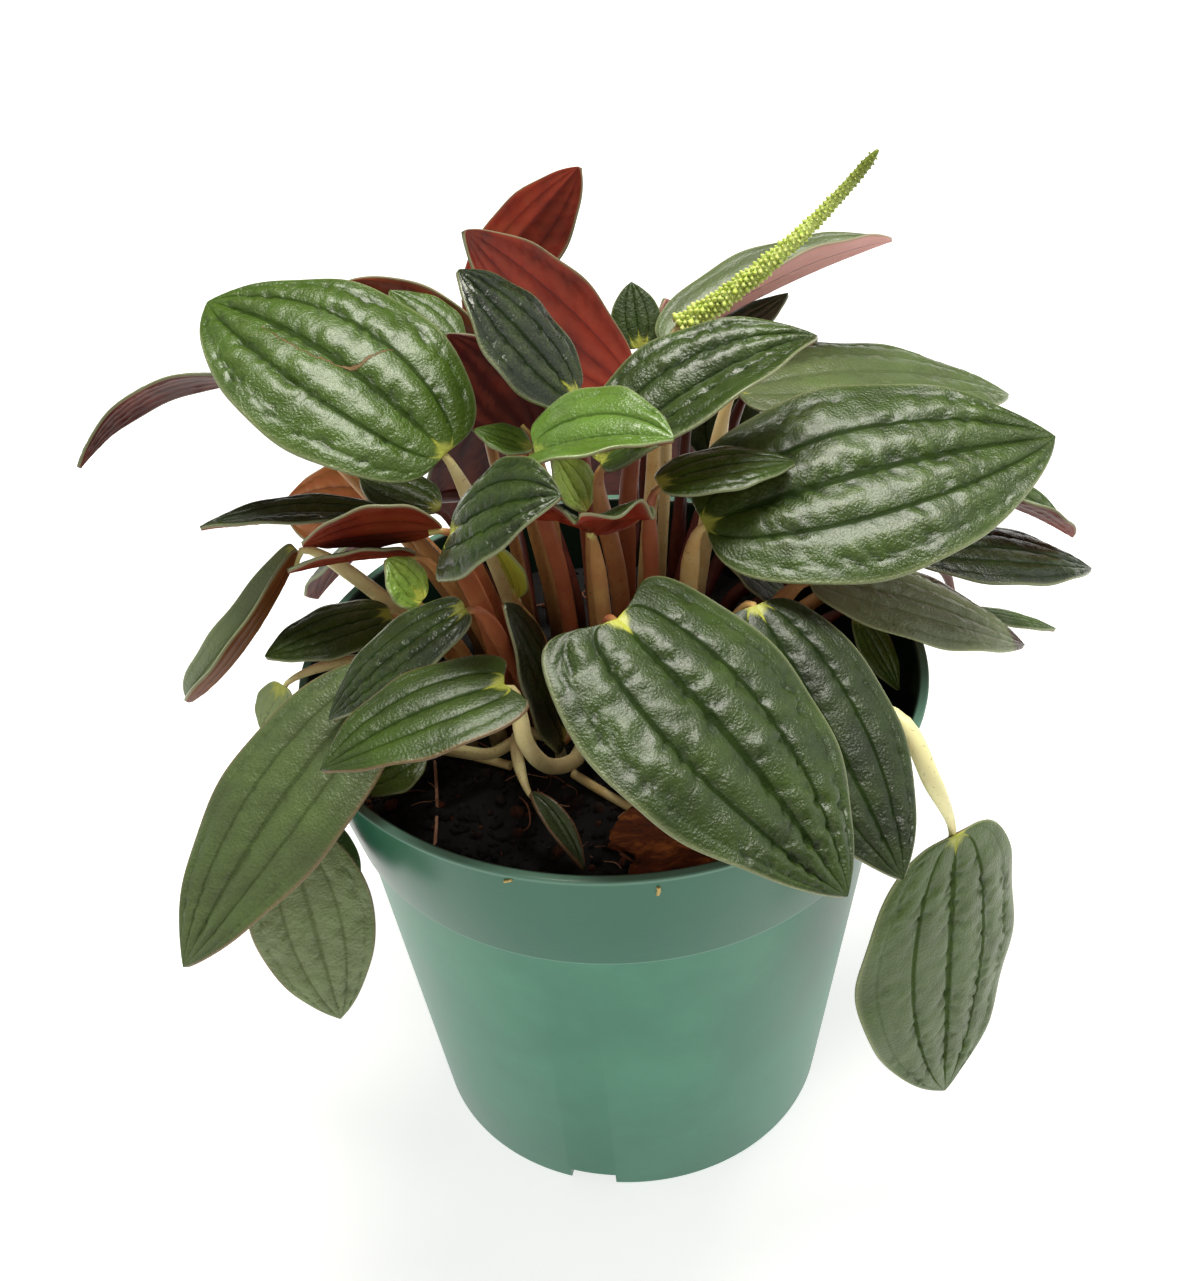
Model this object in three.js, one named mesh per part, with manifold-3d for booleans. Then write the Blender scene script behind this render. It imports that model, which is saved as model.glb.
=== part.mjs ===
// Potted peperomia: a ripple-leaved house plant in a small plastic nursery pot.
// Millimetres, +Z up. The origin is the middle of the pot's flat underside.
import * as THREE from 'three';
import { mergeVertices } from 'three/addons/utils/BufferGeometryUtils.js';
import Module from 'manifold-3d';

const wasm = await Module();
wasm.setup();

// Driving dimensions of the pot
const potHeight = 94.3;
const potBaseRadius = 36.9;
const rimRadius = 54;
const bandHeight = 24;
const bandFootRadius = 47.8;
const wallTopRadius = 46.5;
const wallThickness = 1.9;
const floorThickness = 2.2;
const stepHeight = 0.9;
const edgeRound = 0.8;
const lipRound = { side: 0.3, top: 0.5 };
const notch = { width: 8.5, height: 3, depth: 7, firstAngle: -103, count: 4 };
const potSides = 48;

// Driving dimensions of the soil
const soilTop = 82;
const soilGap = 0.3;
const soilSides = 24;
const soilBump = 0.9;
const soilEdge = 1.5;
const soilSlack = 0.1;
const soilRings = [0.97, 0.78, 0.52, 0.26];
const holeFloor = 75.6;
const holeReach = 12;
const holeSides = 6;
const collarHeight = 4;
const holeClearance = 0.75;

// Driving dimensions of the plant
const crownCentre = [1, 11];
const crownSpread = 0.6;
const crownWidth = 27;
const crownDepth = 19;
const stalkSpacing = 5.1;
const seatRounds = 80;
const bladeThickness = 0.9;
const marginThickness = 0.7;
const furrowDepth = 0.55;
const strips = 2.5;
const stripPower = 1.12;
const stalkSides = 5;
const stalkSteps = 5;
const stalkLag = 0.12;
const stalkSunk = { ahead: 2.2, below: 0.7 };
const stalkMeets = { behind: 0.8, below: 0.5 };
const lobePlace = 0.09;
const rippleTurns = 15;
const rippleOffset = 1.3;

// Each size of leaf has its stalk's radius, and where its sheet is divided:
// along the midrib in equal steps, and across from the midrib to the margin.
const sizes = {
  large: { stalk: 1.6, steps: 7, across: [0, 0.22, 0.44, 0.63, 0.82, 1] },
  medium: { stalk: 1.35, steps: 5, across: [0, 0.22, 0.44, 0.82, 1] },
  small: { stalk: 1.0, steps: 4, across: [0, 0.44, 1] },
};

// Each outline has the powers that make it full near the stalk and narrow near the tip,
// and how far its lobes reach back past the stalk, as a share of the length.
const outlines = {
  heart: { belly: 0.5, taper: 0.86, lobe: 0.13 },
  oval: { belly: 0.62, taper: 0.85, lobe: 0.05 },
  lance: { belly: 0.78, taper: 0.98, lobe: 0.0 },
  blunt: { belly: 0.6, taper: 0.5, lobe: 0.05 },
};

// Colours of the blades
const leafColours = {
  mature: 0x3a5a3e,
  bright: 0x4a7a3e,
  young: 0x5f9a3a,
};

// The leaves. base and tip are the two ends of the midrib. width is across the blade. roll turns
// the upper face towards the right of the midrib, arch bends the tip down, fold raises both halves
// from the midrib, and curl turns them down again towards the margin, all in degrees. bow moves the
// middle of the midrib sideways and wave ripples the margin, in millimetres. via lists points that
// the stalk passes on its way, and seat is its place in the soil.
const leaves = [
  { name: 'leaf_big_left', size: 'large', outline: 'oval', colour: 'bright',
    base: [-25, 4, 135], tip: [-65, 34, 149], width: 36, roll: -12, arch: 56, fold: 6, curl: 24 },
  { name: 'leaf_big_right', size: 'large', outline: 'oval', colour: 'mature',
    base: [16, -4, 124], tip: [76, 14, 126], width: 39, roll: 21, arch: 28, fold: 6, curl: 22 },
  { name: 'leaf_front_big', size: 'large', outline: 'heart', colour: 'mature',
    base: [1, -30, 125], tip: [32, -62, 97], width: 39, roll: 0, arch: 28, fold: 4, curl: 24 },
  { name: 'leaf_front_second', size: 'large', outline: 'oval', colour: 'mature',
    base: [23, -16, 116], tip: [42, -52, 90], width: 26, roll: 0, arch: 22, fold: 4, curl: 24 },
  { name: 'leaf_hanging_right', size: 'large', outline: 'oval', colour: 'bright',
    base: [55, -29, 77], tip: [55, -38, 24], width: 38, roll: -36, arch: 14, fold: 4, curl: 24,
    bow: 2, via: [[45, -25, 99], [50, -31, 91]] },
  { name: 'leaf_front_left', size: 'large', outline: 'oval', colour: 'mature',
    base: [-36, -20, 109], tip: [-69, -50, 77], width: 25, roll: -6, arch: 34, fold: 8, curl: 20,
    seat: [-20, -5] },
  { name: 'leaf_left_hanging', size: 'medium', outline: 'oval', colour: 'bright',
    base: [-53, -33, 88], tip: [-48, -43, 56], width: 20, roll: 14, arch: 14, fold: 6, curl: 20,
    via: [[-30, -12, 92], [-46, -25, 98], [-54, -32, 96]], seat: [-25, -8] },
  { name: 'leaf_left_behind', size: 'small', outline: 'oval', colour: 'mature',
    base: [-51, -30, 86], tip: [-46, -30, 66], width: 13, roll: 45, arch: 10, fold: 6, curl: 20,
    via: [[-32, -5, 92], [-46, -14, 99], [-53, -25, 97]], seat: [-26, -2] },
  { name: 'leaf_far_left', size: 'medium', outline: 'blunt', colour: 'bright',
    base: [-52, 8, 115], tip: [-74, 2, 89], width: 13, roll: 4, arch: 2, fold: 48, curl: 10,
    bow: -6 },
  { name: 'leaf_sickle', size: 'medium', outline: 'lance', colour: 'mature',
    base: [-58, 30, 135], tip: [-91, 26, 123], width: 10, roll: 48, arch: 85, fold: 0, curl: 10,
    via: [[-29, 20, 97], [-40, 24, 114]] },
  { name: 'leaf_behind_left', size: 'medium', outline: 'oval', colour: 'mature',
    base: [-19, 34, 130], tip: [-43, 46, 146], width: 18, roll: 110, arch: 20, fold: 0, curl: 20 },
  { name: 'leaf_behind_green', size: 'small', outline: 'lance', colour: 'bright',
    base: [-23, 31, 139], tip: [-35, 39, 147], width: 12, roll: 0, arch: 10, fold: 10, curl: 10 },
  { name: 'leaf_dark_upright', size: 'medium', outline: 'oval', colour: 'mature',
    base: [-4, 8, 142], tip: [-21, 14, 162], width: 22, roll: 0, arch: 16, fold: 6, curl: 20 },
  { name: 'leaf_maroon', size: 'small', outline: 'oval', colour: 'mature',
    base: [-12, 22, 127], tip: [-25, 30, 143], width: 15, roll: 140, arch: 16, fold: 0, curl: 20 },
  { name: 'leaf_bright_centre', size: 'medium', outline: 'heart', colour: 'young',
    base: [-10, -8, 141], tip: [11, -14, 146], width: 23, roll: 0, arch: 34, fold: 22, curl: 10 },
  { name: 'leaf_small_green', size: 'small', outline: 'lance', colour: 'young',
    base: [-11, 2, 136], tip: [-20, 4, 139], width: 8, roll: 0, arch: 10, fold: 10, curl: 10 },
  { name: 'leaf_centre_right', size: 'large', outline: 'oval', colour: 'mature',
    base: [0, 0, 134], tip: [36, 16, 146], width: 25, roll: 0, arch: 44, fold: 24, curl: 20 },
  { name: 'leaf_behind_right', size: 'large', outline: 'oval', colour: 'mature',
    base: [24, 30, 129], tip: [76, 48, 115], width: 33, roll: 0, arch: 34, fold: 4, curl: 20 },
  { name: 'leaf_right_small', size: 'medium', outline: 'oval', colour: 'mature',
    base: [9, -4, 132], tip: [31, 2, 131], width: 13, roll: 0, arch: 32, fold: 6, curl: 20 },
  { name: 'leaf_top_right', size: 'medium', outline: 'oval', colour: 'mature',
    base: [13, 40, 133], tip: [55, 60, 142], width: 23, roll: -20, arch: 14, fold: 36, curl: 10 },
  { name: 'leaf_small_back', size: 'small', outline: 'lance', colour: 'mature',
    base: [19, 46, 129], tip: [36, 58, 133], width: 9, roll: 0, arch: 14, fold: 0, curl: 20 },
  { name: 'leaf_red_top', size: 'medium', outline: 'oval', colour: 'mature',
    base: [-22, 50, 141], tip: [-1, 50, 163], width: 17, roll: -140, arch: 10, fold: 20, curl: 20 },
  { name: 'leaf_red_second', size: 'large', outline: 'oval', colour: 'mature',
    base: [5, 26, 133], tip: [-20, 22, 165], width: 24, roll: 150, arch: 20, fold: 0, curl: 20 },
  { name: 'leaf_right_mid_back', size: 'medium', outline: 'oval', colour: 'mature',
    base: [62, 30, 107], tip: [88, 36, 91], width: 18, roll: -5, arch: 20, fold: 30, curl: 10,
    seat: [20, 27] },
  { name: 'leaf_right_dark', size: 'medium', outline: 'oval', colour: 'mature',
    base: [53, 18, 102], tip: [89, 26, 90], width: 21, roll: 0, arch: 28, fold: 4, curl: 20 },
  { name: 'leaf_right_lower', size: 'large', outline: 'oval', colour: 'mature',
    base: [34, 2, 108], tip: [72, 4, 90], width: 23, roll: 0, arch: 24, fold: 6, curl: 20 },
  { name: 'leaf_right_far', size: 'small', outline: 'lance', colour: 'mature',
    base: [68, 34, 76], tip: [88, 40, 66], width: 6, roll: 0, arch: 16, fold: 0, curl: 10,
    via: [[31, 22, 92], [44, 24, 97], [54, 27, 97], [63, 31, 88]], seat: [24, 22] },
  { name: 'leaf_inner_right', size: 'small', outline: 'lance', colour: 'mature',
    base: [42, 4, 99], tip: [49, -4, 88], width: 7, roll: 0, arch: 10, fold: 10, curl: 10 },
  { name: 'leaf_front_left_mid', size: 'medium', outline: 'heart', colour: 'mature',
    base: [-16, -38, 120], tip: [-43, -47, 113], width: 20, roll: 0, arch: 34, fold: 8, curl: 20,
    via: [[-7, -18, 88], [-11, -25, 93], [-14, -32, 104]], seat: [-3, -9] },
  { name: 'leaf_dark_left_mid', size: 'medium', outline: 'oval', colour: 'mature',
    base: [-22, -21, 122], tip: [-44, -29, 108], width: 15, roll: 0, arch: 30, fold: 8, curl: 20,
    seat: [-15, -3] },
  { name: 'leaf_centre_low', size: 'small', outline: 'oval', colour: 'mature',
    base: [-9, -11, 87], tip: [-17, -10, 115], width: 19, roll: 0, arch: 16, fold: 6, curl: 20 },
  { name: 'leaf_centre_heart', size: 'large', outline: 'heart', colour: 'mature',
    base: [-23, -20, 135], tip: [-6, -28, 146], width: 22, roll: 20, arch: 50, fold: 8, curl: 24,
    seat: [-17, 1] },
  { name: 'leaf_left_dark_1', size: 'medium', outline: 'lance', colour: 'mature',
    base: [-35, 6, 122], tip: [-67, 6, 122], width: 12, roll: 10, arch: 22, fold: 20, curl: 20 },
  { name: 'leaf_left_red', size: 'medium', outline: 'lance', colour: 'mature',
    base: [-26, -4, 126], tip: [-48, -8, 127], width: 15, roll: 58, arch: 16, fold: 12, curl: 10 },
  { name: 'leaf_left_dark_2', size: 'small', outline: 'lance', colour: 'mature',
    base: [-31, -2, 120], tip: [-51, -8, 122], width: 14, roll: 36, arch: 16, fold: 10, curl: 10 },
  { name: 'leaf_left_dark_3', size: 'medium', outline: 'oval', colour: 'mature',
    base: [-37, 2, 105], tip: [-58, -4, 102], width: 15, roll: 0, arch: 26, fold: 6, curl: 20 },
  { name: 'leaf_left_pale', size: 'small', outline: 'oval', colour: 'bright',
    base: [-55, -8, 99], tip: [-59, -12, 93], width: 8, roll: 0, arch: 10, fold: 6, curl: 10,
    via: [[-42, -2, 99]] },
  { name: 'leaf_green_young', size: 'small', outline: 'oval', colour: 'young',
    base: [-30, -11, 117], tip: [-35, -9, 124], width: 10, roll: 0, arch: 10, fold: 6, curl: 10,
    seat: [-22, 1] },
  { name: 'leaf_mid_green', size: 'small', outline: 'lance', colour: 'mature',
    base: [-28, 14, 118], tip: [-42, 22, 120], width: 12, roll: 0, arch: 12, fold: 6, curl: 10 },
  { name: 'leaf_brown_back', size: 'medium', outline: 'oval', colour: 'mature',
    base: [-41, 32, 108], tip: [-59, 36, 107], width: 18, roll: 150, arch: 20, fold: 0, curl: 20 },
  { name: 'leaf_folded_front', size: 'medium', outline: 'heart', colour: 'mature',
    base: [-2, -12, 129], tip: [-4, -24, 139], width: 21, roll: 0, arch: 10, fold: 26, curl: 20,
    wave: 1 },
  { name: 'leaf_young_centre', size: 'small', outline: 'lance', colour: 'young',
    base: [-3, 2, 124], tip: [-8, 6, 133], width: 9, roll: 0, arch: 10, fold: 20, curl: 10 },
  { name: 'leaf_inner_low', size: 'small', outline: 'lance', colour: 'bright',
    base: [-1, -17, 85], tip: [6, -28, 85], width: 5, roll: 0, arch: 10, fold: 20, curl: 10,
    seat: [3, -8] },
  { name: 'leaf_inner_left', size: 'small', outline: 'lance', colour: 'bright',
    base: [-31, -20, 94], tip: [-43, -26, 90], width: 12, roll: 0, arch: 16, fold: 6, curl: 20,
    via: [[-21, -14, 87]], seat: [-15, -8] },
  { name: 'leaf_soil_bud', size: 'small', outline: 'lance', colour: 'bright',
    base: [-14, -30, 92], tip: [-6, -40, 84], width: 5, roll: 0, arch: 16, fold: 40, curl: 10,
    via: [[-16, -14, 91]], seat: [-10, -11] },
  { name: 'leaf_dark_behind', size: 'small', outline: 'oval', colour: 'mature',
    base: [31, 9, 99], tip: [20, 10, 108], width: 10, roll: 0, arch: 16, fold: 6, curl: 20 },
  { name: 'leaf_back_1', size: 'medium', outline: 'oval', colour: 'mature',
    base: [28, 44, 122], tip: [60, 76, 104], width: 30, roll: 0, arch: 26, fold: 4, curl: 22 },
  { name: 'leaf_back_2', size: 'small', outline: 'oval', colour: 'mature',
    base: [8, 46, 130], tip: [7, 54, 139], width: 9, roll: 0, arch: 26, fold: 4, curl: 22,
    seat: [8, 30] },
  { name: 'leaf_back_3', size: 'medium', outline: 'oval', colour: 'mature',
    base: [-18, 50, 118], tip: [-26, 67, 78], width: 27, roll: 0, arch: 22, fold: 4, curl: 22 },
  { name: 'leaf_back_4', size: 'medium', outline: 'oval', colour: 'mature',
    base: [38, 52, 100], tip: [62, 78, 70], width: 27, roll: 0, arch: 26, fold: 4, curl: 22,
    via: [[28, 40, 99]] },
  { name: 'leaf_back_5', size: 'medium', outline: 'oval', colour: 'mature',
    base: [9, 58, 108], tip: [13, 82, 66], width: 31, roll: 0, arch: 24, fold: 4, curl: 22,
    via: [[7, 46, 100]] },
  { name: 'leaf_back_6', size: 'medium', outline: 'oval', colour: 'mature',
    base: [-38, 52, 96], tip: [-62, 70, 62], width: 26, roll: 0, arch: 26, fold: 4, curl: 22,
    via: [[-20, 46, 99]] },
  { name: 'leaf_shoot_1', size: 'small', outline: 'lance', colour: 'young',
    base: [-15, 0, 109], tip: [-18, -2, 121], width: 6, roll: 10, arch: 20, fold: 20, curl: 10 },
  { name: 'leaf_shoot_2', size: 'small', outline: 'lance', colour: 'young',
    base: [2, 9, 101], tip: [0, 7, 112], width: 4, roll: -20, arch: 20, fold: 20, curl: 10 },
  { name: 'leaf_pink_back', size: 'small', outline: 'oval', colour: 'mature',
    base: [16, 52, 124], tip: [13, 53, 136], width: 9, roll: 160, arch: 20, fold: 10, curl: 10,
    via: [[15, 44, 104]], seat: [14, 35] },
  { name: 'leaf_back_7', size: 'small', outline: 'oval', colour: 'mature',
    base: [23, 50, 103], tip: [24, 54, 119], width: 15, roll: 0, arch: 16, fold: 4, curl: 20,
    seat: [18, 38] },
];

// The flower spike: a stalk that ends in a long head covered with tiny florets. base and tip are
// the ends of the head, and arch bends its middle down.
const spike = {
  name: 'flower_spike', size: 'small', base: [14, 24, 145], tip: [47, 30, 172], arch: -24,
  footRadius: 1.7, tipRadius: 0.8, floretHeight: 0.3, endShare: 0.6, endGap: 0.01, sides: 10, steps: 24,
};

// The chip of bark that lies on the soil, as seen from above
const chipOutline = [
  [-2, -34], [0, -28], [4, -25], [10, -27], [15, -32], [17, -38], [12, -42], [1, -41], [2, -37],
];
const chipThickness = 2;
const chipDepth = 5;

const toRadians = THREE.MathUtils.degToRad;

// A closed geometry as a solid that can be joined and cut
function toSolid(geometry) {
  const bare = geometry.clone();
  bare.deleteAttribute('normal');
  bare.deleteAttribute('uv');
  const merged = mergeVertices(bare, 1e-4);
  return new wasm.Manifold(new wasm.Mesh({
    numProp: 3,
    vertProperties: new Float32Array(merged.attributes.position.array),
    triVerts: new Uint32Array(merged.index.array),
  }));
}

function toGeometry(solid) {
  const mesh = solid.getMesh();
  const geometry = new THREE.BufferGeometry();
  geometry.setAttribute('position', new THREE.BufferAttribute(new Float32Array(mesh.vertProperties), 3));
  geometry.setIndex(new THREE.BufferAttribute(new Uint32Array(mesh.triVerts), 1));
  geometry.computeVertexNormals();
  return geometry;
}

// A round tube of equal width along a curve
function tube(curve, radius, sides, steps) {
  const ring = new THREE.Shape();
  for (let i = 0; i < sides; i += 1) {
    const angle = (i / sides) * 2 * Math.PI;
    const x = radius * Math.cos(angle);
    const y = radius * Math.sin(angle);
    if (i === 0) ring.moveTo(x, y);
    else ring.lineTo(x, y);
  }
  ring.closePath();
  return new THREE.ExtrudeGeometry(ring, { steps, bevelEnabled: false, extrudePath: curve });
}

// The stalks' places in the soil: each leans towards its leaf, and they push each other apart.
function stalkSeats(stems) {
  const [cx, cy] = crownCentre;
  const seats = stems.map((stem) => {
    if (stem.seat) return new THREE.Vector2(stem.seat[0] - cx, stem.seat[1] - cy);
    const seat = new THREE.Vector2(stem.base[0] - cx, stem.base[1] - cy).multiplyScalar(crownSpread);
    const reach = Math.hypot(seat.x / crownWidth, seat.y / crownDepth);
    return seat.divideScalar(Math.max(reach, 1));
  });
  for (let round = 0; round < seatRounds; round += 1) {
    for (let i = 0; i < seats.length; i += 1) {
      for (let j = i + 1; j < seats.length; j += 1) {
        const apart = seats[j].clone().sub(seats[i]);
        const distance = Math.max(apart.length(), 0.01);
        if (distance < stalkSpacing) {
          apart.multiplyScalar((0.5 * (stalkSpacing - distance)) / distance);
          seats[j].add(apart);
          seats[i].sub(apart);
        }
      }
    }
  }
  return seats.map((seat) => new THREE.Vector2(seat.x + cx, seat.y + cy));
}

// The line of a blade's midrib, as an arc from base to tip in the plane of its upper normal
function midribFrame(leaf) {
  const base = new THREE.Vector3(...leaf.base);
  const chord = new THREE.Vector3(...leaf.tip).sub(base);
  const ahead = chord.clone().normalize();
  const normal = new THREE.Vector3(0, 0, 1);
  normal.addScaledVector(ahead, -normal.dot(ahead)).normalize();
  normal.applyAxisAngle(ahead, toRadians(leaf.roll ?? 0));
  const arch = toRadians(leaf.arch || 0.01);
  const length = (chord.length() * arch) / 2 / Math.sin(arch / 2);
  return { base, ahead, normal, arch, length };
}

// The place and directions of the midrib at a distance from the base
function midribAt(leaf, frame, distance) {
  const { base, ahead, normal, arch, length } = frame;
  const radius = length / arch;
  const angle = arch / 2 - distance / radius;
  const along = radius * (Math.sin(arch / 2) - Math.sin(angle));
  const rise = radius * (Math.cos(angle) - Math.cos(arch / 2));
  const tangent = ahead.clone().multiplyScalar(Math.cos(angle)).addScaledVector(normal, Math.sin(angle));
  const up = normal.clone().multiplyScalar(Math.cos(angle)).addScaledVector(ahead, -Math.sin(angle));
  const share = distance / length;
  const side = tangent.clone().cross(up);
  const point = base.clone().addScaledVector(ahead, along).addScaledVector(normal, rise);
  point.addScaledVector(side, (leaf.bow ?? 0) * 4 * share * (1 - share));
  return { point, tangent, up, side };
}

// Height of the sheet's relief: sunken veins at the midrib and beside it, swollen strips between
function relief(across, along) {
  const wave = Math.cos(strips * across ** stripPower * 2 * Math.PI);
  const fade = Math.min(1, 5 * along, 5 * (1 - along));
  return -furrowDepth * wave * fade * (1 - 0.4 * across);
}

// A point of the blade, with along from 0 to 1 and across from -1 to 1, and its upper normal
function bladePoint(leaf, frame, along, across) {
  const { belly, taper, lobe } = outlines[leaf.outline];
  const peak = belly / (belly + taper);
  const widest = peak ** belly * (1 - peak) ** taper;
  const outlineSide = (leaf.width / 2) * (along ** belly * (1 - along) ** taper) / widest;
  const lobeReach = lobe * (along / lobePlace) * Math.exp(1 - along / lobePlace);
  const reach = Math.abs(across);
  const distance = frame.length * (along - lobeReach * reach);
  const sideways = outlineSide * reach;
  const fold = toRadians(leaf.fold ?? 0);
  const bend = (toRadians(leaf.curl || 0.01) * 2) / leaf.width;
  const angle = fold - bend * sideways;
  const out = (Math.sin(fold) - Math.sin(angle)) / bend;
  const lift = (Math.cos(angle) - Math.cos(fold)) / bend;
  const hand = Math.sign(across);
  const { point, up, side } = midribAt(leaf, frame, distance);
  const face = up.clone().multiplyScalar(Math.cos(angle)).addScaledVector(side, -hand * Math.sin(angle));
  const swing = Math.sin(along * rippleTurns + hand * rippleOffset);
  const ripple = (leaf.wave ?? 0) * reach * reach * swing;
  point.addScaledVector(side, hand * out).addScaledVector(up, lift + ripple);
  point.addScaledVector(face, relief(reach, along));
  return { point, face };
}

// A blade as a closed sheet: one point at the base and one at the tip, rows of points between,
// the same triangles on both faces, and a strip round the margin
function bladeGeometry(leaf) {
  const size = sizes[leaf.size];
  const frame = midribFrame(leaf);
  const half = size.across;
  const row = [...half.slice(1).reverse().map((value) => -value), ...half];
  const places = [];
  places.push([0, 0]);
  for (let i = 1; i < size.steps; i += 1) {
    const along = 0.5 - 0.5 * Math.cos((i / size.steps) * Math.PI);
    for (const across of row) places.push([along, across]);
  }
  places.push([1, 0]);
  const count = places.length;
  const positions = new Float32Array(count * 6);
  places.forEach(([along, across], index) => {
    const { point, face } = bladePoint(leaf, frame, along, across);
    const edge = Math.abs(across) === 1 || along === 0 || along === 1;
    const thickness = edge ? marginThickness : bladeThickness;
    point.clone().addScaledVector(face, thickness / 2).toArray(positions, index * 3);
    point.clone().addScaledVector(face, -thickness / 2).toArray(positions, (count + index) * 3);
  });
  const triangles = [];
  const wide = row.length;
  const at = (i, j) => 1 + (i - 1) * wide + j;
  const add = (a, b, c) => {
    triangles.push(a, b, c);
    triangles.push(count + a, count + c, count + b);
  };
  const last = count - 1;
  for (let j = 0; j + 1 < wide; j += 1) {
    add(0, at(1, j + 1), at(1, j));
    add(last, at(size.steps - 1, j), at(size.steps - 1, j + 1));
    for (let i = 1; i < size.steps - 1; i += 1) {
      const leftHalf = j < (wide - 1) / 2;
      const [a, b, c, d] = [at(i, j), at(i, j + 1), at(i + 1, j + 1), at(i + 1, j)];
      if (leftHalf) {
        add(a, b, c);
        add(a, c, d);
      } else {
        add(a, b, d);
        add(b, c, d);
      }
    }
  }
  const margin = [0];
  for (let i = 1; i < size.steps; i += 1) margin.push(at(i, wide - 1));
  margin.push(last);
  for (let i = size.steps - 1; i > 0; i -= 1) margin.push(at(i, 0));
  margin.forEach((a, index) => {
    const b = margin[(index + 1) % margin.length];
    triangles.push(a, count + a, count + b);
    triangles.push(a, count + b, b);
  });
  const geometry = new THREE.BufferGeometry();
  geometry.setAttribute('position', new THREE.BufferAttribute(positions, 3));
  geometry.setIndex(triangles);
  return geometry;
}

// A stalk from its hole in the soil to the underside of the blade's base
function stalkCurve(leaf, seat) {
  const frame = midribFrame(leaf);
  const joint = midribAt(leaf, frame, 0);
  const foot = new THREE.Vector3(seat.x, seat.y, holeFloor + soilGap);
  const collar = new THREE.Vector3(seat.x, seat.y, soilTop + collarHeight);
  const end = midribAt(leaf, frame, stalkSunk.ahead);
  const sunk = end.point.clone().addScaledVector(end.up, -stalkSunk.below);
  const points = [foot, collar];
  if (leaf.via) {
    for (const place of leaf.via) points.push(new THREE.Vector3(...place));
  } else {
    const lean = new THREE.Vector3(joint.point.x - seat.x, joint.point.y - seat.y, 0);
    points.push(collar.clone().lerp(joint.point, 0.5).addScaledVector(lean, -stalkLag));
  }
  const meets = joint.point.clone().addScaledVector(joint.up, -stalkMeets.below);
  points.push(meets.addScaledVector(joint.tangent, -stalkMeets.behind), sunk);
  return new THREE.CatmullRomCurve3(points, false, 'centripetal');
}

function stalkSolid(stem, seat) {
  const steps = stalkSteps + (stem.via ? stem.via.length : 0);
  return toSolid(tube(stalkCurve(stem, seat), sizes[stem.size].stalk, stalkSides, steps));
}

function leafSolid(leaf, seat) {
  return toSolid(bladeGeometry(leaf)).add(stalkSolid(leaf, seat));
}

// The head of the flower spike: rings of points along its middle, every second point raised
function spikeGeometry() {
  const { sides, steps, footRadius, tipRadius, floretHeight, endShare, endGap } = spike;
  const frame = midribFrame(spike);
  const positions = [];
  for (let i = 0; i <= steps; i += 1) {
    const share = i / steps;
    const distance = frame.length * (endGap + (1 - 2 * endGap) * share);
    const { point, up, side } = midribAt(spike, frame, distance);
    const full = THREE.MathUtils.lerp(footRadius, tipRadius, share);
    for (let j = 0; j < sides; j += 1) {
      const angle = (j / sides) * 2 * Math.PI;
      const floret = (i + j) % 2 ? floretHeight * (1 - 0.5 * share) : 0;
      const radius = i === 0 || i === steps ? full * endShare : full + floret;
      const spot = point.clone().addScaledVector(up, radius * Math.cos(angle));
      positions.push(...spot.addScaledVector(side, radius * Math.sin(angle)).toArray());
    }
  }
  const foot = positions.length / 3;
  positions.push(...midribAt(spike, frame, 0).point.toArray());
  positions.push(...midribAt(spike, frame, frame.length).point.toArray());
  const triangles = [];
  for (let j = 0; j < sides; j += 1) {
    const next = (j + 1) % sides;
    triangles.push(foot, next, j);
    triangles.push(foot + 1, steps * sides + j, steps * sides + next);
    for (let i = 0; i < steps; i += 1) {
      const [a, b] = [i * sides + j, i * sides + next];
      const [c, d] = [b + sides, a + sides];
      if ((i + j) % 2) triangles.push(a, b, d, b, c, d);
      else triangles.push(a, b, c, a, c, d);
    }
  }
  const geometry = new THREE.BufferGeometry();
  geometry.setAttribute('position', new THREE.Float32BufferAttribute(positions, 3));
  geometry.setIndex(triangles);
  return geometry;
}

function spikeSolid(seat) {
  return toSolid(spikeGeometry()).add(stalkSolid(spike, seat));
}

// The bark chip: cut from below by the soil, so it lies on the soil with a small gap
function chipSolid(soil) {
  const outline = new THREE.Shape(chipOutline.map(([x, y]) => new THREE.Vector2(x, y)));
  const block = new THREE.ExtrudeGeometry(outline, { depth: chipDepth, bevelEnabled: false });
  block.translate(0, 0, soilTop + chipThickness - chipDepth);
  return toSolid(block).subtract(soil.translate([0, 0, soilGap]));
}

// The pot: a turned profile, with notches cut through its bottom edge
function potSolid() {
  const top = potHeight;
  const step = potHeight - bandHeight;
  const slope = (wallTopRadius - potBaseRadius) / step;
  const inner = (radius) => radius - wallThickness;
  const profile = [
    [0, 0],
    [potBaseRadius - edgeRound, 0],
    [potBaseRadius, edgeRound],
    [wallTopRadius, step - stepHeight],
    [bandFootRadius, step],
    [rimRadius - lipRound.side, top - lipRound.top],
    [rimRadius - edgeRound, top],
    [inner(rimRadius), top],
    [inner(bandFootRadius), step],
    [inner(wallTopRadius), step - stepHeight],
    [inner(potBaseRadius + slope * floorThickness), floorThickness],
    [0, floorThickness],
  ];
  const points = profile.map(([radius, height]) => new THREE.Vector2(radius, height));
  const lathe = new THREE.LatheGeometry(points, potSides).rotateX(Math.PI / 2);
  let pot = toSolid(lathe);
  for (let i = 0; i < notch.count; i += 1) {
    const angle = toRadians(notch.firstAngle + (i * 360) / notch.count);
    const cutter = new THREE.BoxGeometry(notch.depth, notch.width, notch.height * 2);
    cutter.translate(potBaseRadius, 0, 0).rotateZ(angle);
    pot = pot.subtract(toSolid(cutter));
  }
  return pot;
}

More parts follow.
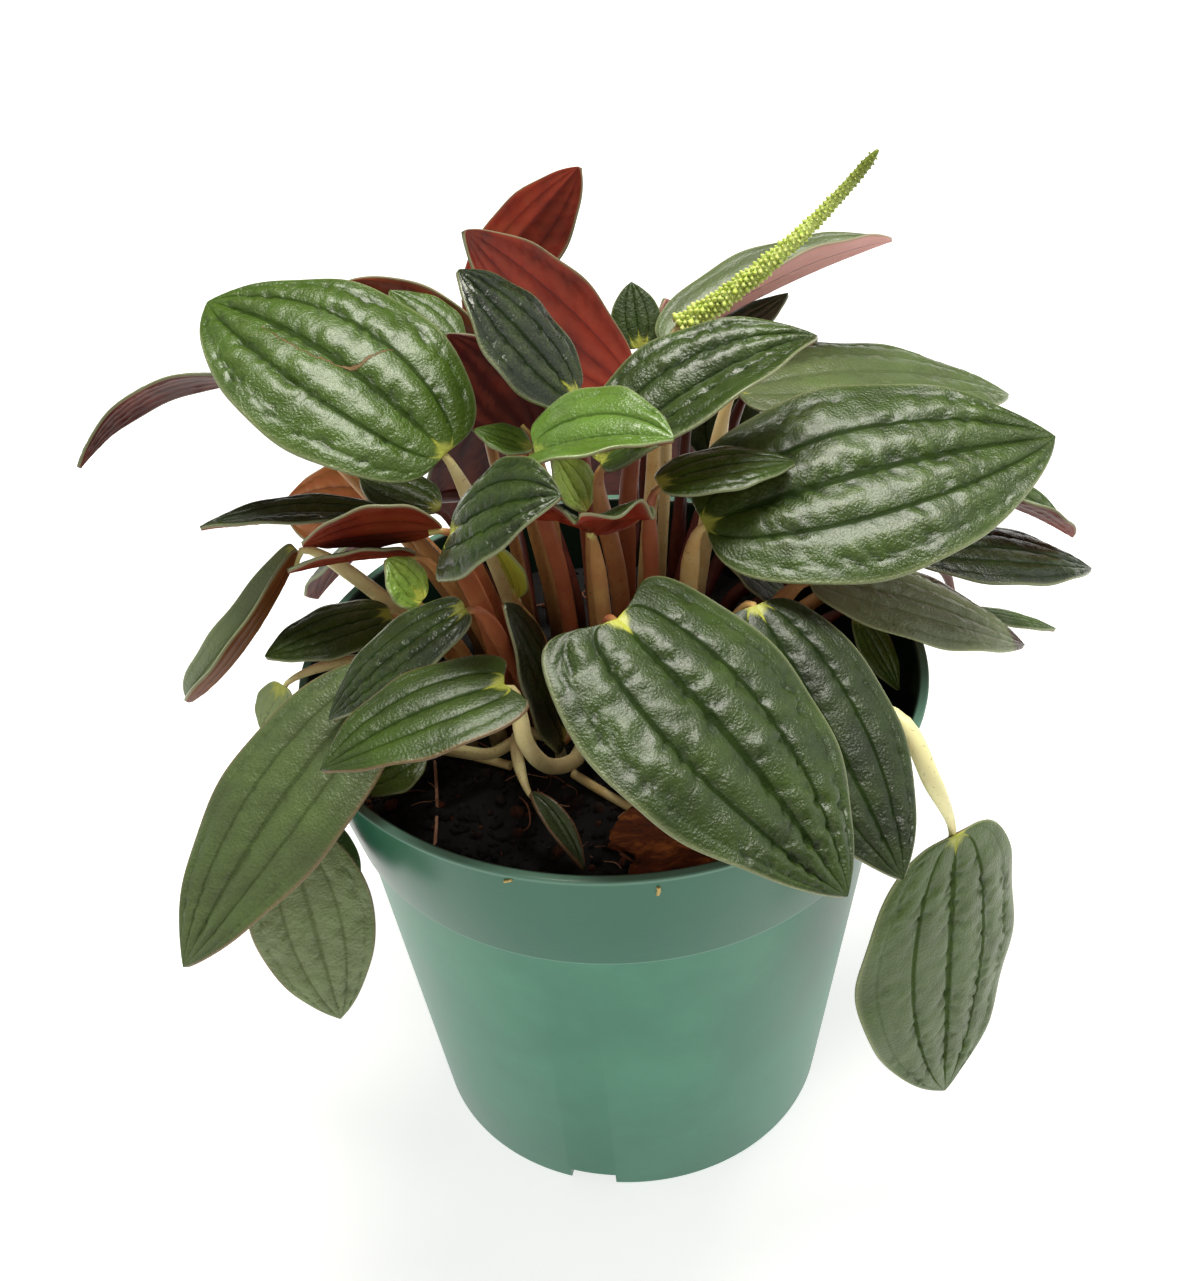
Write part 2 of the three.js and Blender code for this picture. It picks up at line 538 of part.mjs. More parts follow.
// Height of the soil's uneven top at a place
function soilHeight(x, y) {
  const slow = Math.sin(x * 0.17 + 1.1) * Math.cos(y * 0.21 - 0.4);
  const quick = Math.sin(x * 0.61 - y * 0.37) * Math.cos(y * 0.53 + x * 0.19);
  return soilTop + soilBump * (0.6 * slow + 0.4 * quick);
}

// The soil: it fills the pot to its top, with a plain hole for each stalk
function soilSolid(stems, seats) {
  const step = potHeight - bandHeight;
  const inside = (height) => {
    if (height > step) {
      const share = (height - step) / bandHeight;
      return bandFootRadius + (rimRadius - bandFootRadius) * share - wallThickness - soilGap;
    }
    const share = height / (step - stepHeight);
    return potBaseRadius + (wallTopRadius - potBaseRadius) * Math.min(share, 1) - wallThickness - soilGap;
  };
  const low = floorThickness + soilGap;
  const profile = [
    [0, low],
    [inside(low) - soilSlack, low],
    [inside(step - stepHeight) - soilSlack, step - stepHeight],
    [inside(step + soilSlack), step + soilSlack],
    [inside(soilTop - soilEdge), soilTop - soilEdge],
  ];
  for (const share of soilRings) profile.push([inside(soilTop - soilEdge) * share, soilTop]);
  profile.push([0, soilTop]);
  const points = profile.map(([radius, height]) => new THREE.Vector2(radius, height));
  const lathe = new THREE.LatheGeometry(points, soilSides).rotateX(Math.PI / 2);
  const place = lathe.attributes.position;
  for (let i = 0; i < place.count; i += 1) {
    if (place.getZ(i) > soilTop - soilSlack) place.setZ(i, soilHeight(place.getX(i), place.getY(i)));
  }
  let soil = toSolid(lathe);
  stems.forEach((stem, index) => {
    const radius = sizes[stem.size].stalk + holeClearance;
    const hole = new THREE.CylinderGeometry(radius, radius, holeReach, holeSides);
    hole.rotateX(Math.PI / 2).translate(seats[index].x, seats[index].y, holeFloor + holeReach / 2);
    soil = soil.subtract(toSolid(hole));
  });
  return soil;
}

const materials = {
  pot: new THREE.MeshStandardMaterial({ color: 0x4f8570, roughness: 0.45, metalness: 0 }),
  soil: new THREE.MeshStandardMaterial({ color: 0x231a15, roughness: 1, metalness: 0 }),
  bark: new THREE.MeshStandardMaterial({ color: 0x6b3a1c, roughness: 0.9, metalness: 0 }),
  spike: new THREE.MeshStandardMaterial({ color: 0xa9bf45, roughness: 0.6, metalness: 0 }),
};

function leafMaterial(leaf) {
  return new THREE.MeshStandardMaterial({ color: leafColours[leaf.colour], roughness: 0.35, metalness: 0 });
}

const plant = new THREE.Group();

function addPiece(name, solid, material) {
  const mesh = new THREE.Mesh(toGeometry(solid), material);
  mesh.name = name;
  plant.add(mesh);
}

const stems = [...leaves, spike];
const seats = stalkSeats(stems);
const soil = soilSolid(stems, seats);
addPiece('pot', potSolid(), materials.pot);
addPiece('soil', soil, materials.soil);
addPiece('bark_chip', chipSolid(soil), materials.bark);
addPiece(spike.name, spikeSolid(seats[leaves.length]), materials.spike);
leaves.forEach((leaf, index) => addPiece(leaf.name, leafSolid(leaf, seats[index]), leafMaterial(leaf)));

export default plant;
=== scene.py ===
import math
from functools import partial
import bpy
import numpy as np
from mathutils import Matrix, Vector


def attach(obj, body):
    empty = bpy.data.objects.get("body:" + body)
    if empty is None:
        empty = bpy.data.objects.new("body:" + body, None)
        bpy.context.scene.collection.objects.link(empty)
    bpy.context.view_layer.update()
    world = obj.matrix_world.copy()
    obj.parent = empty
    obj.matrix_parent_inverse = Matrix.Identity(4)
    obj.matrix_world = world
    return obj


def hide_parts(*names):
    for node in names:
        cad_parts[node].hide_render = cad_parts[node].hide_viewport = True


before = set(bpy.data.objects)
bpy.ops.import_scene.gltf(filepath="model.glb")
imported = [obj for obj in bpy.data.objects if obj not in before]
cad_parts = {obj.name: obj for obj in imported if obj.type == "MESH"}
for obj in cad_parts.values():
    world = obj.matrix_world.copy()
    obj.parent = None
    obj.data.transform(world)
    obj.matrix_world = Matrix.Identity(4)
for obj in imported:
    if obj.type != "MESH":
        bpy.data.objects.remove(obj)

# Potted peperomia. Lengths in the dictionaries are millimetres; meshes are made in metres.
mm = 0.001
fullTurn = 2 * math.pi
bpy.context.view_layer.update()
rootBody = "root"
print("scene: frame loaded")


def toLinear(text):
    values = [int(text[i:i + 2], 16) / 255 for i in (1, 3, 5)]
    return (*(v / 12.92 if v <= 0.04045 else ((v + 0.055) / 1.055) ** 2.4 for v in values), 1.0)


# Gives a node's inputs their values or links; a list goes into one input together
def fill(tree, node, inputs):
    for key, value in inputs.items():
        for one in value if isinstance(value, list) else [value]:
            if isinstance(one, bpy.types.NodeSocket):
                tree.links.new(one, node.inputs[key])
            else:
                node.inputs[key].default_value = one


modeSettings = ("operation", "interpolation_type", "feature", "data_type", "domain", "axis", "mode")


# Adds a node and gives one of its outputs. A kind without Node in it is a shader node, and a second
# word is its mode. Inputs come in order, or in a dictionary. Stops are the colours of a ramp.
def addNode(tree, kind, *inputs, out=0, stops=(), **settings):
    kind, *mode = kind.split()
    node = tree.nodes.new(kind if "Node" in kind else "ShaderNode" + kind)
    if mode:
        settings[next(name for name in modeSettings if hasattr(node, name))] = mode[0]
    for name, value in settings.items():
        setattr(node, name, value)
    fill(tree, node, inputs[0] if inputs and isinstance(inputs[0], dict) else dict(enumerate(inputs)))
    while stops and len(node.color_ramp.elements) < len(stops):
        node.color_ramp.elements.new(0.5)
    for number, (place, colour) in enumerate(stops):
        node.color_ramp.elements[number].position = place
        node.color_ramp.elements[number].color = toLinear(colour)
    return node.outputs[out]


def newMaterial(name):
    material = bpy.data.materials.new(name)
    material.use_nodes = True
    return material, partial(addNode, material.node_tree)


# Lays tints over a colour, each by a mask and its strength, and sets the shader. The bump is a
# height, its relief in millimetres and its strength.
def finishMaterial(material, colour, layers, values, bump=None):
    tree = material.node_tree
    add = partial(addNode, tree)
    for mask, strength, tint in layers:
        tint = toLinear(tint) if isinstance(tint, str) else tint
        colour = add("Mix RGBA", {0: add("Math MULTIPLY", mask, strength), 6: colour, 7: tint}, out=2)
    if bump:
        height, relief, strength = bump
        values["Normal"] = add("Bump", {"Height": height, "Distance": relief * mm, "Strength": strength})
    fill(tree, tree.nodes["Principled BSDF"], {"Base Color": colour, **values})
    return material


def makeTree(name, inputs):
    tree = bpy.data.node_groups.new(name, "GeometryNodeTree")
    for way in ("INPUT", "OUTPUT"):
        tree.interface.new_socket("Geometry", in_out=way, socket_type="NodeSocketGeometry")
    for label, value in inputs.items():
        kind = "NodeSocketInt" if isinstance(value, int) else "NodeSocketFloat"
        tree.interface.new_socket(label, in_out="INPUT", socket_type=kind).default_value = value
    return tree, partial(addNode, tree), tree.nodes.new("NodeGroupInput").outputs


# Closes a tree: makes instances real and gives the materials, each to the points it is for
def endTree(tree, geometry, materials):
    real = addNode(tree, "GeometryNodeRealizeInstances", geometry)
    for material, *selection in materials:
        inputs = {"Geometry": real, "Material": material}
        if selection:
            inputs["Selection"] = selection[0]
        real = addNode(tree, "GeometryNodeSetMaterial", inputs)
    tree.links.new(real, tree.nodes.new("NodeGroupOutput").inputs[0])
    return tree


# Sweeps a ring along the edges of a mesh, with the radius that an attribute gives in millimetres
def sweep(add, lines, radiusName, sides):
    radius = add("Math MULTIPLY", add("GeometryNodeInputNamedAttribute FLOAT", radiusName), mm)
    ring = add("GeometryNodeCurvePrimitiveCircle RADIUS", {"Resolution": sides, "Radius": 1.0})
    return add("GeometryNodeCurveToMesh", {
        "Curve": add("GeometryNodeMeshToCurve", lines), "Profile Curve": ring, "Scale": radius,
        "Fill Caps": True})


# Keeps what an object's modifiers make as its plain mesh
def keepResult(thing):
    graph = bpy.context.evaluated_depsgraph_get()
    mesh = bpy.data.meshes.new_from_object(thing.evaluated_get(graph))
    thing.modifiers.clear()
    old, thing.data = thing.data, mesh
    mesh.name = old.name
    bpy.data.meshes.remove(old)


def applyTree(thing, tree, values):
    modifier = thing.modifiers.new("rule", "NODES")
    modifier.node_group = tree
    for item in tree.interface.items_tree:
        if item.in_out == "INPUT" and item.name in values:
            modifier[item.identifier] = values[item.name]
    keepResult(thing)
    return thing


# Makes an object from points in millimetres, with attributes: one number for all points or a row each
def newObject(name, points, edges, faces, marks=None):
    mesh = bpy.data.meshes.new(name)
    mesh.from_pydata([tuple(p) for p in np.asarray(points) * mm], edges, faces)
    thing = bpy.data.objects.new(name, mesh)
    bpy.context.scene.collection.objects.link(thing)
    setMarks(mesh, marks or {})
    return thing


def setMarks(mesh, marks):
    for name, values in marks.items():
        values = np.asarray(values, np.float32)
        if values.ndim == 0:
            values = np.full(len(mesh.vertices), values, np.float32)
        kind, field = ("FLOAT_VECTOR", "vector") if values.ndim == 2 else ("FLOAT", "value")
        mesh.attributes.new(name, kind, "POINT").data.foreach_set(field, np.ravel(values))


def finishPiece(thing, slot, *nodes):
    for polygon in thing.data.polygons:
        polygon.use_smooth = True
    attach(thing, rootBody)
    if nodes:
        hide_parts(*nodes)


# Makes tubes along lines, each with its radius
def makeTube(name, lines, radii, material, sides, marks):
    points, edges, sizes = [], [], []
    for path, radius in zip(lines, radii):
        edges += [(len(points) + k, len(points) + k + 1) for k in range(len(path) - 1)]
        points += list(path)
        sizes += [radius] * len(path)
    thing = newObject(name, points, edges, [], {"tubeRadius": sizes, **marks})
    tree, add, given = makeTree(name + "Rule", {"Sides": 5})
    tube = sweep(add, given["Geometry"], "tubeRadius", given["Sides"])
    return applyTree(thing, endTree(tree, tube, [(material,)]), {"Sides": sides})


def unit(vector):
    return vector / np.linalg.norm(vector)


# A smooth line through points, cut into equal steps
def centripetal(points, count):
    points = [np.array(p, float) for p in points]
    rows = [2 * points[0] - points[1]] + points + [2 * points[-1] - points[-2]]
    dense = []
    for i in range(len(points) - 1):
        p0, p1, p2, p3 = rows[i:i + 4]
        d0, d1, d2 = [np.dot(b - a, b - a) ** 0.25 for a, b in ((p0, p1), (p1, p2), (p2, p3))]
        m1 = ((p1 - p0) / d0 - (p2 - p0) / (d0 + d1) + (p2 - p1) / d1) * d1
        m2 = ((p2 - p1) / d1 - (p3 - p1) / (d1 + d2) + (p3 - p2) / d2) * d1
        for t in np.linspace(0, 1, 40, endpoint=False):
            dense.append(p1 + m1 * t + (3 * (p2 - p1) - 2 * m1 - m2) * t * t
                         + (2 * (p1 - p2) + m1 + m2) * t ** 3)
    dense = np.array(dense + [points[-1]])
    travel = np.concatenate([[0], np.cumsum(np.linalg.norm(np.diff(dense, axis=0), axis=1))])
    wanted = np.linspace(0, travel[-1], count)
    return np.stack([np.interp(wanted, travel, dense[:, k]) for k in range(dense.shape[1])], 1)


# A leaf: ends of its midrib, width, then roll, arch, fold and curl in degrees, and what differs
# from usualLook
def leaf(name, size, outline, base, tip, width, roll, arch, fold, curl, **more):
    return dict(more, name=name, size=size, outline=outline, base=base, tip=tip, width=width,
                roll=roll, arch=arch, fold=fold, curl=curl)


leafRows = [
    leaf("big_left", "large", "oval", (-25, 4, 135), (-65, 34, 149), 36, -12, 56, 6, 24, age=0.56,
         bloom=0.5, shine=0.62, blush=0.1, pucker=0.9, furrow=0.85, scar=1.0, slot="leaf_bright"),
    leaf("big_right", "large", "oval", (16, -4, 124), (76, 14, 126), 39, 21, 28, 6, 22, age=0.72,
         bloom=0.7, shine=0.58, blush=0.3, pucker=1.0, furrow=0.85),
    leaf("front_big", "large", "heart", (1, -30, 125), (32, -62, 97), 39, 0, 28, 4, 24, age=0.78,
         bloom=0.18, shine=0.5, blush=0.75, pucker=1.1, furrow=1.0, star=0.9),
    leaf("front_second", "large", "oval", (23, -16, 116), (42, -52, 90), 26, 0, 22, 4, 24, age=0.9,
         bloom=0.1, shine=0.35, blush=0.4, pucker=0.6, furrow=0.6, star=0.8),
    leaf("hanging_right", "large", "oval", (55, -29, 77), (55, -38, 24), 38, -36, 14, 4, 24, bow=2,
         via=[(45, -25, 99), (50, -31, 91)], age=0.62, bloom=0.3, shine=0.4, blush=0.0, pucker=0.8,
         frost=0.05, slot="leaf_bright"),
    leaf("front_left", "large", "oval", (-36, -20, 109), (-69, -50, 77), 25, -6, 34, 8, 20, seat=(-20, -5),
         age=0.72, bloom=0.35, shine=0.35, blush=0.2, pucker=0.4, furrow=0.6, frost=0.12, edge=0.8),
    leaf("left_hanging", "medium", "oval", (-53, -33, 88), (-48, -43, 56), 20, 14, 14, 6, 20,
         seat=(-25, -8), via=[(-30, -12, 92), (-46, -25, 98), (-54, -32, 96)], age=0.5, bloom=0.6,
         shine=0.4, blush=0.1, pucker=0.6, frost=0.38, edge=0.8, slot="leaf_bright"),
    leaf("left_behind", "small", "oval", (-51, -30, 86), (-46, -30, 66), 13, 45, 10, 6, 20, seat=(-26, -2),
         via=[(-32, -5, 92), (-46, -14, 99), (-53, -25, 97)], age=0.6, bloom=0.6, shine=0.4, blush=0.1),
    leaf("far_left", "medium", "blunt", (-52, 8, 115), (-74, 2, 89), 13, 4, 2, 48, 10, bow=-6, age=0.62,
         bloom=0.6, shine=0.4, red=0.4, blush=0.1, pucker=0.2, furrow=0.4, frost=0.4, slot="leaf_bright"),
    leaf("sickle", "medium", "lance", (-58, 30, 135), (-91, 26, 123), 10, 48, 85, 0, 10,
         via=[(-29, 20, 97), (-40, 24, 114)], age=0.8, red=0.95, furrow=0.2),
    leaf("behind_left", "medium", "oval", (-19, 34, 130), (-43, 46, 146), 18, 110, 20, 0, 20, age=0.7,
         red=0.55),
    leaf("behind_green", "small", "lance", (-23, 31, 139), (-35, 39, 147), 12, 0, 10, 10, 10, age=0.55,
         shine=0.5, furrow=0.4, slot="leaf_bright"),
    leaf("dark_upright", "medium", "oval", (-4, 8, 142), (-21, 14, 162), 22, 0, 16, 6, 20, age=0.98,
         bloom=0.55, shine=0.9, blush=0.9, pucker=0.7, furrow=0.8),
    leaf("maroon", "small", "oval", (-12, 22, 127), (-25, 30, 143), 15, 140, 16, 0, 20, age=0.95, red=1.0,
         blush=0.9),
    leaf("bright_centre", "medium", "heart", (-10, -8, 141), (11, -14, 146), 23, 0, 34, 22, 10, age=0.34,
         bloom=0.25, shine=0.75, red=0.7, blush=0.8, furrow=0.7, star=0.3, slot="leaf_young"),
    leaf("small_green", "small", "lance", (-11, 2, 136), (-20, 4, 139), 8, 0, 10, 10, 10, age=0.25,
         shine=0.7, furrow=0.4, slot="leaf_young"),
    leaf("centre_right", "large", "oval", (0, 0, 134), (36, 16, 146), 25, 0, 44, 24, 20, age=0.76,
         bloom=0.3, shine=0.65, blush=0.6, pucker=0.8, furrow=0.85),
    leaf("behind_right", "large", "oval", (24, 30, 129), (76, 48, 115), 33, 0, 34, 4, 20, age=0.7,
         bloom=0.5, shine=0.5, blush=0.2, pucker=0.6, furrow=0.4, frost=0.2),
    leaf("right_small", "medium", "oval", (9, -4, 132), (31, 2, 131), 13, 0, 32, 6, 20, age=0.66,
         shine=0.75, red=0.8, blush=0.8),
    leaf("top_right", "medium", "oval", (13, 40, 133), (55, 60, 142), 23, -20, 14, 36, 10, age=0.78,
         bloom=0.5, shine=0.4, red=0.6, blush=0.3, furrow=0.6, frost=0.2, pale=0.85),
    leaf("small_back", "small", "lance", (19, 46, 129), (36, 58, 133), 9, 0, 14, 0, 20, age=0.95,
         blush=1.4, star=0.1),
    leaf("red_top", "medium", "oval", (-22, 50, 141), (-1, 50, 163), 17, -140, 10, 20, 20, age=0.7,
         red=0.74, blush=0.8),
    leaf("red_second", "large", "oval", (5, 26, 133), (-20, 22, 165), 24, 150, 20, 0, 20, age=0.8,
         red=0.82, blush=0.8),
    leaf("right_mid_back", "medium", "oval", (62, 30, 107), (88, 36, 91), 18, -5, 20, 30, 10,
         seat=(20, 27), age=0.6, bloom=0.6, blush=1.3),
    leaf("right_dark", "medium", "oval", (53, 18, 102), (89, 26, 90), 21, 0, 28, 4, 20, age=1.0, bloom=0.4,
         shine=0.8, red=0.6, furrow=0.4),
    leaf("right_lower", "large", "oval", (34, 2, 108), (72, 4, 90), 23, 0, 24, 6, 20, age=0.7, bloom=0.7,
         red=0.5, furrow=0.4, frost=0.5, torn=1.0),
    leaf("right_far", "small", "lance", (68, 34, 76), (88, 40, 66), 6, 0, 16, 0, 10, seat=(24, 22),
         via=[(31, 22, 92), (44, 24, 97), (54, 27, 97), (63, 31, 88)], age=0.6, bloom=0.6, red=0.5,
         blush=1.3),
    leaf("inner_right", "small", "lance", (42, 4, 99), (49, -4, 88), 7, 0, 10, 10, 10, age=0.5, blush=1.3),
    leaf("front_left_mid", "medium", "heart", (-16, -38, 120), (-43, -47, 113), 20, 0, 34, 8, 20,
         seat=(-3, -9), via=[(-7, -18, 88), (-11, -25, 93), (-14, -32, 104)], bloom=0.15, shine=0.35,
         red=0.55, blush=0.1, pucker=0.3, furrow=0.6, edge=0.9),
    leaf("dark_left_mid", "medium", "oval", (-22, -21, 122), (-44, -29, 108), 15, 0, 30, 8, 20,
         seat=(-15, -3), age=0.9, bloom=0.3, shine=0.7, blush=0.7, pucker=0.7, furrow=0.45),
    leaf("centre_low", "small", "oval", (-9, -11, 87), (-17, -10, 115), 19, 0, 16, 6, 20, age=0.98,
         shine=0.7),
    leaf("centre_heart", "large", "heart", (-23, -20, 135), (-6, -28, 146), 22, 20, 50, 8, 24,
         seat=(-17, 1), age=0.85, bloom=0.45, shine=0.8, blush=0.7, pucker=0.5, furrow=0.6),
    leaf("left_dark_1", "medium", "lance", (-35, 6, 122), (-67, 6, 122), 12, 10, 22, 20, 20, age=0.85,
         shine=0.7, red=0.7, furrow=0.35),
    leaf("left_red", "medium", "lance", (-26, -4, 126), (-48, -8, 127), 15, 58, 16, 12, 10, age=0.8,
         red=0.7, blush=0.7),
    leaf("left_dark_2", "small", "lance", (-31, -2, 120), (-51, -8, 122), 14, 36, 16, 10, 10, age=0.9,
         red=0.72, furrow=0.35),
    leaf("left_dark_3", "medium", "oval", (-37, 2, 105), (-58, -4, 102), 15, 0, 26, 6, 20, shine=0.5,
         furrow=0.35),
    leaf("left_pale", "small", "oval", (-55, -8, 99), (-59, -12, 93), 8, 0, 10, 6, 10, via=[(-42, -2, 99)],
         age=0.4, bloom=1.0, shine=0.4, blush=0.05, frost=0.6, slot="leaf_bright"),
    leaf("green_young", "small", "oval", (-30, -11, 117), (-35, -9, 124), 10, 0, 10, 6, 10, seat=(-22, 1),
         age=0.12, shine=0.8, slot="leaf_young"),
    leaf("mid_green", "small", "lance", (-28, 14, 118), (-42, 22, 120), 12, 0, 12, 6, 10, age=0.7,
         shine=0.7, blush=1.3),
    leaf("brown_back", "medium", "oval", (-41, 32, 108), (-59, 36, 107), 18, 150, 20, 0, 20, age=0.7,
         red=0.45),
    leaf("folded_front", "medium", "heart", (-2, -12, 129), (-4, -24, 139), 21, 0, 10, 26, 20, wave=1,
         bloom=0.3, shine=0.7, red=0.8),
    leaf("young_centre", "small", "lance", (-3, 2, 124), (-8, 6, 133), 9, 0, 10, 20, 10, age=0.05, red=0.3,
         slot="leaf_young"),
    leaf("inner_low", "small", "lance", (-1, -17, 85), (6, -28, 85), 5, 0, 10, 20, 10, seat=(3, -8),
         age=0.4, blush=0.1, slot="leaf_bright"),
    leaf("inner_left", "small", "lance", (-31, -20, 94), (-43, -26, 90), 12, 0, 16, 6, 20, seat=(-15, -8),
         via=[(-21, -14, 87)], age=0.45, blush=0.1, slot="leaf_bright"),
    leaf("soil_bud", "small", "lance", (-14, -30, 92), (-6, -40, 84), 5, 0, 16, 40, 10, seat=(-10, -11),
         via=[(-16, -14, 91)], age=0.85, red=0.5, blush=0.1, edge=1.0, star=0.0, slot="leaf_bright"),
    leaf("dark_behind", "small", "oval", (31, 9, 99), (20, 10, 108), 10, 0, 16, 6, 20, age=0.95, blush=1.3),
    leaf("back_1", "medium", "oval", (28, 44, 122), (60, 76, 104), 30, 0, 26, 4, 22, age=0.8, shine=0.1,
         red=1.0, blush=1.4),
    leaf("back_2", "small", "oval", (8, 46, 130), (7, 54, 139), 9, 0, 26, 4, 22, seat=(8, 30), age=0.8,
         shine=0.1, red=1.0, blush=1.4),
    leaf("back_3", "medium", "oval", (-18, 50, 118), (-26, 67, 78), 27, 0, 22, 4, 22, age=0.8, shine=0.1,
         red=1.0, blush=1.4),
    leaf("back_4", "medium", "oval", (38, 52, 100), (62, 78, 70), 27, 0, 26, 4, 22, via=[(28, 40, 99)],
         age=0.8, shine=0.1, red=1.0, blush=1.4),
    leaf("back_5", "medium", "oval", (9, 58, 108), (13, 82, 66), 31, 0, 24, 4, 22, via=[(7, 46, 100)],
         age=0.8, shine=0.1, red=1.0, blush=1.4),
    leaf("back_6", "medium", "oval", (-38, 52, 96), (-62, 70, 62), 26, 0, 26, 4, 22, via=[(-20, 46, 99)],
         age=0.8, shine=0.1, red=1.0, blush=1.4),
    leaf("shoot_1", "small", "lance", (-15, 0, 109), (-18, -2, 121), 6, 10, 20, 20, 10, age=0.0, red=0.0,
         blush=0.3, slot="leaf_young"),
    leaf("shoot_2", "small", "lance", (2, 9, 101), (0, 7, 112), 4, -20, 20, 20, 10, age=0.0, red=0.0,
         blush=0.3, slot="leaf_young"),
    leaf("pink_back", "small", "oval", (16, 52, 124), (13, 53, 136), 9, 160, 20, 10, 10, seat=(14, 35),
         via=[(15, 44, 104)], age=0.7, red=0.5, blush=1.4, pale=0.5),
    leaf("back_7", "small", "oval", (23, 50, 103), (24, 54, 119), 15, 0, 16, 4, 20, seat=(18, 38), age=0.8,
         shine=0.1, red=1.0, blush=1.4),
]

# Age runs from 0 (young, light) to 1 (old, dark), red of the underside from 0 (green) to 1 (wine),
# blush of the stalk from 0 (pale) over 1 (brick) to 1.5 (wine). The sheen value paints a grey
# highlight on the crests of the strips, frost is a pale haze, star the yellow at the foot, edge the
# red of the margin, pucker and furrow the depth of the relief.
usualLook = {
    "age": 0.75, "red": 0.75, "shine": 0.6, "bloom": 0.2, "blush": 0.5, "pale": 0.0, "star": 0.6,
    "pucker": 0.45, "edge": 0.15, "scar": 0.0, "torn": 0.0, "frost": 0.0, "furrow": 0.5,
    "slot": "leaf_mature",
}
# The healed crack across one blade, in millimetres across and along it, and its width there
scarLine = [(-2.0, 38.4, 0.1), (-2.5, 33.0, 0.3), (-2.5, 29.3, 0.25), (-1.9, 26.5, 0.35),
            (-0.8, 22.3, 0.5), (0.3, 20.7, 0.9), (1.5, 20.0, 0.9), (3.8, 19.95, 0.4), (6.5, 19.0, 0.3),
            (7.8, 18.4, 0.1)]
leafSizes = {
    "large": {"stalk": 1.6, "rows": 96, "relief": 1.0,
              "steps": (0.0, 0.04, 0.1, 0.2, 0.34, 0.5, 0.66, 0.8, 0.9, 0.96)},
    "medium": {"stalk": 1.35, "rows": 70, "relief": 0.8,
               "steps": (0.0, 0.06, 0.16, 0.32, 0.5, 0.68, 0.84, 0.94)},
    "small": {"stalk": 1.0, "rows": 44, "relief": 0.6, "steps": (0.0, 0.08, 0.28, 0.5, 0.72, 0.92)},
}
leafOutlines = {
    "heart": {"belly": 0.5, "taper": 0.86, "lobe": 0.13},
    "oval": {"belly": 0.62, "taper": 0.85, "lobe": 0.05},
    "lance": {"belly": 0.78, "taper": 0.98, "lobe": 0.0},
    "blunt": {"belly": 0.6, "taper": 0.5, "lobe": 0.05},
}
blade = {
    "bladeThickness": 0.9, "marginThickness": 0.5, "furrowDepth": 0.75, "strips": 2.5,
    "stripPower": 1.12, "veinWidth": 0.075, "puckerHeight": 0.72, "puckerSpacing": 4.0,
    "rimRound": 0.22, "lobePlace": 0.09, "rippleTurns": 15, "rippleOffset": 1.3, "edgeWave": 0.35,
    "edgeTurns": 19, "evenRows": 0.3, "marginFrom": 0.965, "lastGaps": (0.07, 0.03, 0.0),
    "seedStep": 1.37, "patternStep": 9.0,
}
stalk = {
    "points": 34, "sides": 12, "lag": 0.12, "sunkAhead": 2.2, "sunkBelow": 0.7, "meetsBehind": 0.8,
    "meetsBelow": 0.5, "footSwell": 1.12, "footRun": 6, "endTaper": 0.4, "taperFrom": 0.78,
    "taperRun": 0.18,
}
crown = {"centre": (1, 11), "spread": 0.6, "width": 27, "depth": 19, "spacing": 5.1, "rounds": 80}


def midribFrame(row):
    base, tip = np.array(row["base"], float), np.array(row["tip"], float)
    chord = np.linalg.norm(tip - base)
    ahead = (tip - base) / chord
    normal = unit(np.array([0, 0, 1.0]) - ahead * ahead[2])
    roll = math.radians(row.get("roll", 0))
    normal = (normal * math.cos(roll) + np.cross(ahead, normal) * math.sin(roll)
              + ahead * np.dot(ahead, normal) * (1 - math.cos(roll)))
    arch = math.radians(row["arch"] or 0.01)
    return {"base": base, "ahead": ahead, "normal": normal, "arch": arch,
            "length": chord * arch / 2 / math.sin(arch / 2)}


# Points and directions of the midrib at distances from its base
def midribAt(row, line, distance):
    distance = np.asarray(distance, float)[..., None]
    radius, half = line["length"] / line["arch"], line["arch"] / 2
    angle = half - distance / radius
    along = radius * (math.sin(half) - np.sin(angle))
    rise = radius * (np.cos(angle) - math.cos(half))
    tangent = line["ahead"] * np.cos(angle) + line["normal"] * np.sin(angle)
    up = line["normal"] * np.cos(angle) - line["ahead"] * np.sin(angle)
    side = np.cross(tangent, up)
    share = distance / line["length"]
    point = line["base"] + line["ahead"] * along + line["normal"] * rise
    return point + side * row.get("bow", 0) * 4 * share * (1 - share), tangent, up, side


